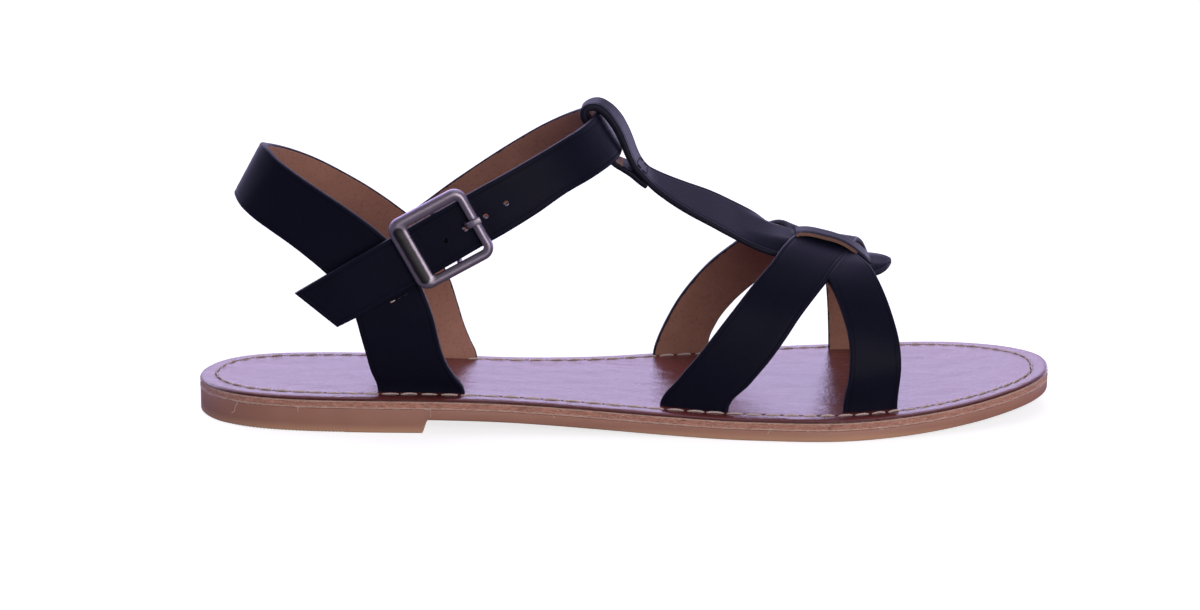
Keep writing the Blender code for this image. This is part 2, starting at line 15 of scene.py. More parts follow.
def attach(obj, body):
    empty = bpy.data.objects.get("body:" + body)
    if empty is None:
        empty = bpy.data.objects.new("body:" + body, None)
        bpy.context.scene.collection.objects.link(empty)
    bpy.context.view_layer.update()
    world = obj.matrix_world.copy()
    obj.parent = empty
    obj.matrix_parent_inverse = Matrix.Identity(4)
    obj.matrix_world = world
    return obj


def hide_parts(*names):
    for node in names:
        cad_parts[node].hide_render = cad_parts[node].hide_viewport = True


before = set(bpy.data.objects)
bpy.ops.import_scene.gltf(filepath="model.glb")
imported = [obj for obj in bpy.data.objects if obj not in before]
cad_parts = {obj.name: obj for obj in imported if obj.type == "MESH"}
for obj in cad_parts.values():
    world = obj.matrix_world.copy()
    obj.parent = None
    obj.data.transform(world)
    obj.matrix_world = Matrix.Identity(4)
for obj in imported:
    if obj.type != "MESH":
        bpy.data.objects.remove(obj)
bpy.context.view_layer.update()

bl_info = {
    "name": "T-strap sandal",
    "version": (1, 0, 0),
    "blender": (4, 5, 0),
    "location": "View3D > Sidebar > Sandal",
    "description": "Builds a leather T-strap sandal with a square buckle and a stitched sole",
    "category": "Add Mesh",
}

MM = 0.001

# Sole
SOLE_LENGTH = 250.0
HEEL_BREAST = 66.8
HEEL_BLOCK_DROP = 3.9
HEEL_STEP_RUN = 1.2
ARCH_END = 160.0
TOE_ROCKER_START = 187.0
TOE_SPRING = 5.5
RUBBER_THICKNESS = 3.3
BOARD_THICKNESS = 1.9
COVER_THICKNESS = 1.1
LAYER_GAP = 0.15
SOLE_COLUMNS = 26
INSIDE_SOLE = 20.0  # edge_gap of the middle of a sole face

# Buckle, measured from the middle of its opening along and across the ankle strap. Sides run rear,
# front, low, high
BUCKLE_CENTRE = (73.5, -38.8, 58.5)
BUCKLE_TILT = 28.8
FRAME_SIDES = (-13.0, 11.55, -10.9, 11.6)
OPENING_SIDES = (-7.75, 8.85, -8.15, 8.2)
FRAME_CORNER = 3.8
OPENING_CORNER = 1.1
FRAME_LIFT = 0.35
DARK_REFLECTION_BAR = -10.2  # along the strap, the frame's bar that gets a painted dark reflection
BAR_RADIUS = 0.8
BAR_DEPTH = -4.6
HOLE_RADIUS = 0.75
HOLE_PITCH = 6.75
PRONG_HOLE = 6.65
PRONG_HOLE_RADIUS = 0.85
HOLE_SIDE = -0.9  # across the strap, and how fast the row of holes runs off it
HOLE_DRIFT = 0.04
PRONG_SIDE = 0.3
CHAPE_HALF_WIDTH = 6.0
CHAPE_THICKNESS = 1.2

# Thickness of the T-strap: (distance along it, share of its nominal thickness)
TONGUE_BODY = ((0.0, 0.9), (11.0, 1.0), (22.0, 1.3), (48.0, 1.3), (60.0, 1.0), (70.0, 0.92), (85.0, 0.85),
               (110.0, 0.82), (128.0, 0.75), (142.0, 0.55))

# How far the middle of the T-strap domes up to meet each end of the bridge, and over what runs
DOME_RISES = (2.8, 1.1)
DOME_RUNS = (16.0, 6.0)
BRIDGE_THICKNESS = 1.35

# Where the T-strap's lining side is painted, along it: up to its tail, and round the turn of its loop, where
# the dark paint is painted shade
PAINTED_TAIL = 8.5
SHADE_PAINTED_TURN = (17.0, 40.0)

# The bridge's two edges are bare from the first slit's end up to this x_heel
RAW_LANE_END = 192.5

# Slot in the buckle strap for the prong: rear, front, width
PRONG_SLOT = (-2.5, 4.0, 2.5)

# Distance between stitch holes: (x_heel, pitch)
STITCH_PITCH = ((0.0, 4.9), (40.0, 5.3), (80.0, 6.0), (130.0, 6.0), (190.0, 5.0), (250.0, 4.6))

# Box stitch on the neck of the T-strap: (distance along it, share of its width)
BOX_STITCH = ((58.0, 0.82), (60.0, 0.83), (62.0, 0.84), (62.2, 0.62), (62.3, 0.42), (62.2, 0.22),
              (60.2, 0.21), (58.2, 0.2), (58.0, 0.4), (58.0, 0.61), (58.0, 0.82))

# Holes of the stitches that hold the buckle strap's end to the heel strap
CHAPE_STITCHES = ((57.6, -35.3, 38.6), (59.4, -35.35, 39.6), (61.2, -35.4, 40.6), (63.0, -35.4, 41.5))

# Loose thread ends at the board's outer edge: (x_heel, drop, run)
LOOSE_THREADS = ((12.6, 3.4, -1.6), (30.5, 1.3, 0.5), (68.8, 2.2, 0.2), (104.0, 0.9, 0.8), (166.0, 1.0, -0.7))

# Grooves moulded across the heel's underside: where they start and end, depth, and shape over one pitch
GROOVE_ENDS = (9.5, 44.6)
GROOVE_DEPTH = 0.26
GROOVE_SHAPE = ((0.0, 1.0), (0.1, 0.5), (0.28, 0.08), (0.5, 0.0), (0.72, 0.08), (0.9, 0.5), (1.0, 1.0))

# Tints that don't follow the colours in the panel
FLECK_TINT = (0.66, 0.46, 0.34)
# Painted shade in the board's pits
PIT_SHADE_TINT = (0.16, 0.045, 0.02)
FUZZ_TINT = (0.68, 0.52, 0.43)
FIBRE_TINT = (0.74, 0.60, 0.52)
# Painted glow of floor light at the outsole's bottom edge
FLOOR_GLOW_TINT = (0.62, 0.36, 0.22)
DUST_TINT = (0.45, 0.34, 0.28)
# Painted dark reflection on the buckle frame's rear bar
DARK_REFLECTION_TINT = (0.012, 0.013, 0.012)
LILAC_TINT = (0.635, 0.565, 0.92)
WHITE = (1.0, 1.0, 1.0)

# Columns: x_heel, y_outer, y_inner
OUTLINE = (
    (0.0, -5.5, -5.5),
    (1.3, -12.6, 2.4),
    (4.2, -18.6, 8.4),
    (9.5, -24.4, 13.8),
    (18.0, -29.4, 17.5),
    (31.0, -32.8, 19.0),
    (48.0, -34.5, 18.6),
    (70.0, -35.3, 16.4),
    (95.0, -35.3, 17.0),
    (117.0, -37.0, 23.0),
    (138.0, -39.7, 32.0),
    (162.0, -43.3, 39.2),
    (183.0, -44.7, 43.3),
    (203.0, -40.6, 44.7),
    (222.0, -33.2, 40.6),
    (236.0, -24.6, 31.0),
    (245.0, -15.8, 19.6),
    (248.9, -7.8, 10.6),
    (250.0, 1.5, 1.5),
)

# Columns: x_top, y_top, z_top, x_low, y_low, z_low
HEEL_STRAP = (
    (78.7, -29.0, 9.3, 53.5, -28.0, 9.6),
    (78.6, -29.0, 10.4, 53.4, -28.0, 11.0),
    (76.0, -31.0, 15.1, 51.6, -30.4, 17.0),
    (73.7, -32.6, 19.4, 50.2, -32.6, 23.4),
    (72.2, -33.7, 23.8, 49.0, -33.8, 28.6),
    (71.2, -34.4, 28.4, 47.9, -34.2, 33.2),
    (70.0, -34.9, 34.0, 46.2, -34.2, 37.4),
    (68.2, -35.0, 39.6, 44.0, -33.8, 41.2),
    (65.3, -35.0, 46.2, 41.2, -33.2, 44.7),
    (61.2, -35.0, 52.4, 38.2, -32.5, 47.5),
    (55.0, -34.5, 58.7, 34.0, -31.3, 50.8),
    (46.6, -32.8, 64.9, 28.8, -29.3, 54.4),
    (37.6, -29.4, 70.3, 23.3, -26.4, 57.6),
    (30.2, -25.4, 74.5, 17.8, -22.4, 60.6),
    (24.4, -20.6, 77.9, 14.0, -18.0, 63.0),
    (20.9, -15.0, 80.2, 12.0, -13.0, 64.5),
    (19.6, -8.6, 80.3, 11.2, -8.0, 64.9),
    (20.2, -2.6, 79.0, 11.9, -3.0, 64.2),
    (22.6, 2.9, 77.4, 13.9, 1.8, 62.8),
    (27.1, 7.6, 75.1, 17.8, 6.4, 60.2),
    (33.8, 11.8, 71.5, 23.4, 10.4, 56.8),
    (41.6, 15.2, 66.6, 29.4, 13.4, 53.1),
    (50.0, 17.7, 60.9, 34.8, 15.5, 49.2),
    (57.4, 18.8, 55.3, 39.4, 16.9, 45.7),
    (62.4, 19.3, 51.0, 42.7, 17.8, 42.6),
    (66.8, 19.7, 44.5, 45.6, 18.3, 39.0),
    (70.0, 19.9, 38.6, 47.8, 18.6, 35.2),
    (72.9, 19.9, 32.2, 49.8, 18.5, 30.6),
    (75.0, 19.4, 25.2, 51.6, 17.8, 25.4),
    (77.0, 18.0, 18.5, 53.6, 16.0, 19.4),
    (79.2, 15.6, 13.6, 55.4, 13.8, 14.0),
    (80.9, 13.2, 10.4, 56.4, 12.4, 10.9),
    (81.0, 13.2, 9.25, 56.5, 12.4, 9.6),
)

# Columns: x_up, y_up, z_up, x_low, y_low, z_low
ANKLE_STRAP = (
    (49.4, 21.2, 45.8, 56.9, 22.0, 32.8),
    (57.4, 21.9, 50.5, 64.9, 22.3, 37.6),
    (65.1, 22.2, 55.9, 72.8, 22.4, 42.9),
    (72.3, 22.1, 61.3, 80.2, 22.2, 48.4),
    (79.5, 21.6, 66.4, 87.7, 21.4, 53.8),
    (86.7, 20.6, 71.4, 95.0, 20.4, 59.0),
    (93.9, 19.0, 76.2, 102.2, 18.6, 63.9),
    (101.3, 15.9, 81.0, 109.3, 15.4, 68.4),
    (108.1, 11.4, 85.0, 116.0, 11.0, 72.4),
    (113.8, 5.2, 88.1, 121.9, 5.0, 75.7),
    (117.0, -1.4, 89.4, 124.2, -1.6, 77.4),
    (117.3, -8.0, 89.4, 124.4, -8.4, 77.7),
    (116.1, -14.6, 88.8, 123.5, -15.2, 77.1),
    (112.6, -22.0, 87.1, 120.4, -21.4, 75.5),
    (107.7, -27.7, 85.0, 115.4, -27.6, 73.3),
    (100.4, -32.6, 81.4, 108.2, -32.6, 70.0),
    (92.3, -35.9, 77.2, 100.3, -35.8, 65.0),
    (83.8, -37.8, 72.8, 91.9, -37.8, 60.05),
    (75.2, -38.6, 68.0, 82.9, -38.6, 55.0),
    (66.2, -38.8, 62.9, 73.8, -38.8, 49.65),
    (57.1, -38.8, 57.6, 64.6, -38.8, 44.3),
    (48.0, -38.8, 52.4, 55.6, -38.8, 39.3),
    (39.2, -38.5, 47.1, 49.2, -38.8, 35.5),
    (30.7, -37.7, 41.9, 42.8, -38.4, 32.1),
)

# Columns: x_near, y_near, z_near, x_far, y_far, z_far
T_STRAP = (
    (130.7, -12.0, 66.7, 131.6, -2.0, 68.3),
    (128.5, -12.0, 68.3, 129.2, -2.0, 69.9),
    (126.3, -12.0, 70.2, 126.9, -2.0, 71.6),
    (123.6, -12.0, 72.0, 123.8, -2.0, 72.8),
    (121.2, -12.0, 73.6, 121.1, -2.0, 74.0),
    (119.2, -12.0, 76.1, 119.1, -2.0, 76.3),
    (116.5, -12.0, 80.4, 116.5, -2.0, 80.5),
    (113.8, -12.0, 84.7, 113.9, -2.0, 84.7),
    (111.9, -12.0, 87.7, 112.4, -2.0, 87.6),
    (111.9, -12.0, 90.0, 112.6, -2.0, 90.1),
    (113.7, -12.0, 91.6, 114.8, -2.0, 91.8),
    (116.6, -12.0, 91.8, 117.7, -2.0, 92.2),
    (119.4, -12.0, 90.0, 120.8, -2.0, 90.7),
    (122.0, -12.0, 86.8, 123.9, -2.0, 87.6),
    (123.9, -12.0, 83.6, 126.0, -2.0, 84.0),
    (125.4, -12.0, 80.0, 127.5, -2.0, 80.4),
    (126.7, -12.0, 76.7, 128.7, -2.0, 77.0),
    (128.4, -12.0, 73.4, 130.0, -1.8, 74.3),
    (130.9, -12.0, 70.6, 131.8, -1.0, 71.9),
    (133.6, -12.3, 67.7, 134.2, 0.2, 70.3),
    (137.2, -13.3, 65.0, 137.4, 2.0, 68.5),
    (143.0, -14.7, 61.4, 143.0, 4.7, 65.8),
    (150.0, -15.6, 57.7, 150.0, 7.1, 62.8),
    (157.0, -15.4, 53.8, 157.0, 8.6, 59.2),
    (163.5, -14.6, 50.3, 163.5, 9.0, 55.6),
    (168.0, -14.0, 48.6, 168.0, 9.5, 52.2),
    (172.5, -13.6, 47.3, 172.5, 9.8, 49.9),
    (178.0, -13.0, 45.8, 178.0, 10.2, 48.3),
    (184.5, -12.4, 44.0, 184.5, 10.4, 46.4),
    (191.0, -11.4, 42.2, 191.0, 10.0, 44.6),
    (196.0, -9.8, 41.3, 196.0, 8.6, 43.7),
    (199.4, -7.0, 41.2, 199.6, 7.0, 43.6),
    (201.8, -3.4, 41.9, 202.0, 4.6, 43.5),
    (203.2, 0.2, 42.9, 203.3, 2.2, 43.3),
)

# Columns: x_near, y_near, z_near, x_far, y_far, z_far
BRIDGE = (
    (173.0, -6.2, 51.7, 173.0, 3.6, 52.0),
    (175.0, -5.3, 52.6, 175.0, 3.6, 52.4),
    (177.8, -4.7, 52.7, 177.8, 3.3, 52.7),
    (183.1, -4.5, 51.6, 183.3, 3.2, 51.8),
    (188.6, -4.5, 49.9, 188.8, 3.2, 50.1),
    (191.6, -4.5, 48.1, 192.0, 3.2, 48.6),
    (194.0, -4.6, 46.2, 194.4, 3.2, 46.9),
    (196.2, -4.2, 44.3, 196.6, 3.1, 45.1),
    (197.6, -3.6, 43.3, 198.0, 2.9, 44.1),
)

# Columns: x_rear, y_rear, z_rear, x_front, y_front, z_front
REAR_VAMP_STRAP = (
    (134.6, -31.2, 6.3, 154.0, -36.8, 5.7),
    (134.7, -31.2, 7.6, 154.1, -36.8, 7.2),
    (140.2, -33.4, 16.0, 160.4, -37.4, 15.0),
    (146.3, -34.2, 23.7, 166.4, -36.9, 22.3),
    (151.2, -33.6, 30.2, 171.0, -35.4, 28.6),
    (155.8, -31.9, 36.0, 174.8, -33.0, 34.0),
    (161.4, -27.6, 42.4, 179.4, -28.7, 39.3),
    (166.7, -21.4, 47.2, 183.6, -22.6, 43.1),
    (170.0, -14.6, 50.1, 186.8, -15.4, 45.5),
    (172.6, -8.4, 51.4, 189.4, -8.8, 46.5),
    (175.0, -2.6, 51.9, 191.2, -2.8, 47.0),
    (177.2, 3.6, 51.7, 192.6, 4.0, 47.8),
    (179.3, 9.8, 50.2, 194.0, 10.6, 47.7),
    (181.3, 15.8, 47.5, 195.8, 15.6, 45.8),
    (183.3, 22.0, 43.2, 197.8, 20.6, 41.4),
    (185.0, 28.2, 36.6, 199.8, 27.4, 35.2),
    (186.3, 33.6, 27.6, 201.8, 33.4, 26.0),
    (187.1, 37.0, 17.4, 203.1, 36.6, 16.4),
    (187.4, 38.0, 7.8, 203.6, 37.9, 8.2),
    (187.4, 38.0, 5.7, 203.6, 37.9, 6.1),
)

# Columns: x_front, y_front, z_front, x_rear, y_rear, z_rear
FRONT_VAMP_STRAP = (
    (203.4, -33.0, 6.1, 187.6, -36.7, 5.7),
    (203.4, -33.0, 7.8, 187.6, -36.7, 7.4),
    (204.2, -34.0, 19.0, 189.0, -37.4, 17.0),
    (203.7, -31.4, 26.6, 189.2, -34.9, 26.8),
    (201.8, -26.4, 33.8, 187.4, -30.4, 34.8),
    (199.0, -19.2, 40.6, 183.8, -23.4, 42.6),
    (196.6, -12.8, 44.2, 180.2, -16.6, 45.9),
    (193.8, -7.0, 45.9, 177.6, -9.8, 48.0),
    (190.8, -1.2, 46.9, 175.8, -3.6, 49.6),
    (187.4, 4.8, 48.0, 174.4, 3.0, 50.8),
    (183.6, 10.6, 48.2, 173.2, 9.0, 52.4),
    (178.8, 16.4, 45.0, 170.4, 13.4, 52.6),
    (172.4, 21.6, 39.0, 164.8, 17.6, 49.6),
    (165.2, 26.2, 31.6, 157.4, 21.6, 43.6),
    (158.0, 30.2, 24.0, 148.8, 26.0, 35.2),
    (152.6, 32.9, 16.2, 139.6, 28.6, 22.4),
    (150.0, 33.9, 8.0, 133.5, 28.2, 8.0),
    (149.9, 33.9, 5.9, 133.4, 28.2, 6.4),
)

# Columns: along, out
CHAPE_PATH = (
    (-29.0, -2.25),
    (-20.0, -2.25),
    (-10.0, -2.25),
    (-3.0, -2.25),
    (0.0, -2.3),
    (1.65, -2.95),
    (2.3, -4.6),
    (1.65, -6.25),
    (0.0, -6.95),
    (-2.2, -6.6),
    (-5.0, -5.35),
    (-7.6, -5.1),
)

# Columns: along, out
PRONG_PATH = (
    (-0.4, -6.3),
    (-1.35, -5.6),
    (-1.72, -4.6),
    (-1.3, -3.4),
    (0.0, -2.85),
    (2.4, -2.9),
    (4.6, -2.95),
    (6.2, -2.9),
    (6.95, -2.1),
    (7.2, -0.8),
    (7.35, 0.6),
    (7.7, 2.0),
    (8.5, 3.3),
    (9.8, 3.75),
    (11.0, 3.75),
    (12.1, 3.6),
)

# Straps: distances from an edge of the grid lines that round it, and what else the grids share
EDGE_STEPS = (0.0, 0.05, 0.16, 0.32, 0.55, 0.85, 1.15, 1.35, 1.55, 1.8, 2.1)
CREASE_INSET = 1.5
CREASE_DEPTH = 0.1
CREASE_WIDTH = 0.22
MIDDLE_LINES = 9
MARGIN_LINES = 3
LANE_LINES = 10
LOOP_LENGTH = 70.0  # of the T-strap, along it, before its straight run
FAR_FROM_EDGE = 9.0
SHARP_ANGLE = 40.0
THREAD_ANGLE = 80.0
GRAIN, PAINT, LINING, RAW = range(4)


def unit(vectors):
    return vectors / np.linalg.norm(vectors, axis=-1)[..., None]


def smooth_step(t):
    t = np.clip(t, 0.0, 1.0)
    return t * t * (3.0 - 2.0 * t)


def row_lengths(rows):
    """Distance along the middle line of a strap's table, or along a path, at each row."""
    rows = np.asarray(rows, dtype=float)
    middle = (rows[:, :3] + rows[:, 3:]) / 2.0 if rows.shape[1] == 6 else rows
    return np.concatenate(([0.0], np.cumsum(np.linalg.norm(np.diff(middle, axis=0), axis=1))))


def blend(rows, slopes, index, t, span):
    """Smooth curve from row index to the next, at share t of the span between them."""
    start = (2 * t**3 - 3 * t**2 + 1) * rows[index]
    leave = (t**3 - 2 * t**2 + t) * span * slopes[index]
    end = (3 * t**2 - 2 * t**3) * rows[index + 1]
    arrive = (t**3 - t**2) * span * slopes[index + 1]
    return start + leave + end + arrive


def sample(rows, wanted):
    """Smooth curve through the table's rows at the wanted distances along it."""
    rows = np.asarray(rows, dtype=float)
    lengths = row_lengths(rows)
    wanted = np.asarray(wanted, dtype=float)
    slopes = np.gradient(rows, lengths, axis=0)
    index = np.clip(np.searchsorted(lengths, wanted) - 1, 0, len(rows) - 2)
    span = (lengths[index + 1] - lengths[index])[:, None]
    t = (wanted[:, None] - lengths[index][:, None]) / span
    return blend(rows, slopes, index, t, span)


def evenly(rows, count):
    """Smooth curve through the table's rows at this many even distances."""
    return sample(rows, np.linspace(0.0, row_lengths(rows)[-1], count))


class Solid:
    """Collects the corners and faces of one closed piece, in millimetres from the heel."""

    def __init__(self):
        self.points = []
        self.faces = []
        self.finishes = []
        self.edge_gap = []

    def add_points(self, points, edge_gap=None):
        first = len(self.points)
        points = np.asarray(points, dtype=float).reshape(-1, 3)
        self.points.extend(points.tolist())
        gaps = np.full(len(points), FAR_FROM_EDGE) if edge_gap is None else np.asarray(edge_gap).ravel()
        self.edge_gap.extend(gaps.tolist())
        return first

    def add_sheet(self, points, edge_gap=None):
        """Corner numbers of a sheet of points, in rows and columns."""
        size = points.shape[:2]
        return self.add_points(points, edge_gap) + np.arange(size[0] * size[1]).reshape(size)

    def add_face(self, corners, finish=0):
        corners = [c for k, c in enumerate(corners) if c != corners[k - 1]]
        if len(corners) > 2:
            self.faces.append(tuple(int(c) for c in corners))
            self.finishes.append(finish)

    def add_grid(self, index, finish):
        """Faces of a grid of corner numbers; finish is one number or one for each cell."""
        cells = np.broadcast_to(finish, (index.shape[0] - 1, index.shape[1] - 1))
        for i in range(index.shape[0] - 1):
            for j in range(index.shape[1] - 1):
                quad = (index[i, j], index[i, j + 1], index[i + 1, j + 1], index[i + 1, j])
                self.add_face(quad, int(cells[i, j]))

    def build(self, name, finishes, sharp=SHARP_ANGLE):
        """Blender object of the collected solid, with its loose corners left out."""
        used = sorted({corner for face in self.faces for corner in face})
        place = {corner: k for k, corner in enumerate(used)}
        points = (np.asarray(self.points)[used] - (SOLE_LENGTH / 2.0, 0.0, 0.0)) * MM
        mesh = bpy.data.meshes.new(name)
        faces = [[place[corner] for corner in face] for face in self.faces]
        mesh.from_pydata(points.tolist(), [], faces)
        gap = mesh.attributes.new("edge_gap", "FLOAT", "POINT")
        gap.data.foreach_set("value", np.asarray(self.edge_gap, dtype=np.float32)[used])
        mesh.polygons.foreach_set("material_index", self.finishes)
        mesh.polygons.foreach_set("use_smooth", [True] * len(faces))
        for finish in finishes:
            mesh.materials.append(finish)
        obj = bpy.data.objects.new(name, mesh)
        bpy.context.scene.collection.objects.link(obj)
        turn_outward(mesh)
        mesh.set_sharp_from_angle(angle=math.radians(sharp))
        return obj


def turn_outward(mesh):
    """Turn the faces of a closed solid outward."""
    mesh.calc_loop_triangles()
    points = np.empty(len(mesh.vertices) * 3)
    mesh.vertices.foreach_get("co", points)
    points = points.reshape(-1, 3)
    corners = np.empty(len(mesh.loop_triangles) * 3, dtype=np.int32)
    mesh.loop_triangles.foreach_get("vertices", corners)
    a, b, c = points[corners.reshape(-1, 3)].transpose(1, 0, 2)
    if np.einsum("ij,ij->i", a, np.cross(b, c)).sum() < 0.0:
        mesh.flip_normals()


def cut(obj, cutter):
    """Cut one solid from another and drop the cutter."""
    step = obj.modifiers.new("cut", "BOOLEAN")
    step.operation = "DIFFERENCE"
    step.solver = "EXACT"
    step.object = cutter
    depsgraph = bpy.context.evaluated_depsgraph_get()
    result = bpy.data.meshes.new_from_object(obj.evaluated_get(depsgraph))
    obj.modifiers.clear()
    obj.data = result
    bpy.data.objects.remove(cutter, do_unlink=True)
    if not result.polygons:
        raise RuntimeError(f"{obj.name}: the cut left nothing")
    result.set_sharp_from_angle(angle=math.radians(SHARP_ANGLE))


# Straps


def edge_columns(width, _station):
    """Distances across a strap of its grid lines, close together near both edges."""
    squeeze = min(1.0, 0.45 * width / EDGE_STEPS[-1])
    near = [step * squeeze for step in EDGE_STEPS]
    far = [width - step for step in near[::-1]]
    return np.array(near + list(np.linspace(near[-1], far[0], MIDDLE_LINES + 1)[1:-1]) + far)


def margin_columns(width):
    """Grid lines over a margin between a strap's edge and a slit, from the edge inward."""
    squeeze = min(1.0, 0.8 * width / EDGE_STEPS[-1])
    near = [step * squeeze for step in EDGE_STEPS]
    return near + list(np.linspace(near[-1], width, MARGIN_LINES + 1)[1:])


def strap_stations(length, spacing, ends):
    """Distances along a strap of its grid lines; ends tells which ends are rounded."""
    wanted = list(np.linspace(0.0, length, int(length / spacing) + 1))
    for place, rounded in zip((0.0, length), ends):
        if rounded:
            side = 1.0 if place == 0.0 else -1.0
            wanted = [s for s in wanted if abs(s - place) > EDGE_STEPS[-2]]
            wanted += [place + side * step for step in EDGE_STEPS[:-1]]
    return np.array(sorted(set(wanted)))


def rounding(gap, radius):
    """How far a rounded edge falls away from the face, at this distance from the edge."""
    inside = np.clip(radius - gap, 0.0, radius)
    return radius - np.sqrt(np.maximum(radius**2 - inside**2, 0.0))


def crease(gap, depth):
    """Pressed line that runs along a strap near its edges."""
    return depth * np.exp(-(((gap - CREASE_INSET) / CREASE_WIDTH) ** 2))


class Strap:
    """Grain side, lining side and edge distances of a strap that follows its table."""

    def __init__(self, table, thickness, side, ends=(False, False), spacing=1.0, columns=edge_columns):
        self.length = row_lengths(table)[-1]
        self.stations = strap_stations(self.length, spacing, ends)
        edges = sample(table, self.stations)
        left, right = edges[:, :3], edges[:, 3:]
        across = unit(right - left)
        lead = unit(np.gradient((left + right) / 2.0, self.stations, axis=0))
        self.normal = unit(np.cross(lead, across)) * side
        self.width = np.linalg.norm(right - left, axis=1)
        self.columns = np.array([columns(w, k) for k, w in enumerate(self.width)])
        end_gap = np.full(len(self.stations), FAR_FROM_EDGE)
        if ends[0]:
            end_gap = np.minimum(end_gap, self.stations)
        if ends[1]:
            end_gap = np.minimum(end_gap, self.length - self.stations)
        side_gap = np.minimum(self.columns, self.width[:, None] - self.columns)
        self.gap = np.minimum(side_gap, end_gap[:, None])
        self.thickness = np.broadcast_to(thickness, self.stations.shape)
        face = left[:, None] + across[:, None] * self.columns[..., None]
        radius = 0.42 * self.thickness[:, None]
        fall = rounding(self.gap, radius)
        pressed = fall + crease(self.gap, CREASE_DEPTH)
        normal = self.normal[:, None]
        self.grain = face - normal * pressed[..., None]
        self.lining = face - normal * (self.thickness[:, None] - 0.6 * fall)[..., None]


def cell_finish(gap, inner, outer=PAINT, reach=0.3):
    """Finish of each cell of a grid: the edge paint laps a little over the face."""
    least = np.minimum.reduce([gap[:-1, :-1], gap[1:, :-1], gap[:-1, 1:], gap[1:, 1:]])
    return np.where(least < reach - 1e-6, outer, inner)


def add_strap(solid, strap):
    """Add a plain strap's two faces and its edges."""
    top = solid.add_sheet(strap.grain, strap.gap)
    low = solid.add_sheet(strap.lining, strap.gap)
    solid.add_grid(top, cell_finish(strap.gap, GRAIN))
    solid.add_grid(low[:, ::-1], cell_finish(strap.gap, LINING)[:, ::-1])
    add_rim(solid, top, low)


def add_rim(solid, top, low):
    """Wall round a strap between its two faces."""
    rims = [np.concatenate((g[0, :-1], g[:-1, -1], g[-1, :0:-1], g[:0:-1, 0], g[0, :1])) for g in (low, top)]
    solid.add_grid(np.array(rims), PAINT)


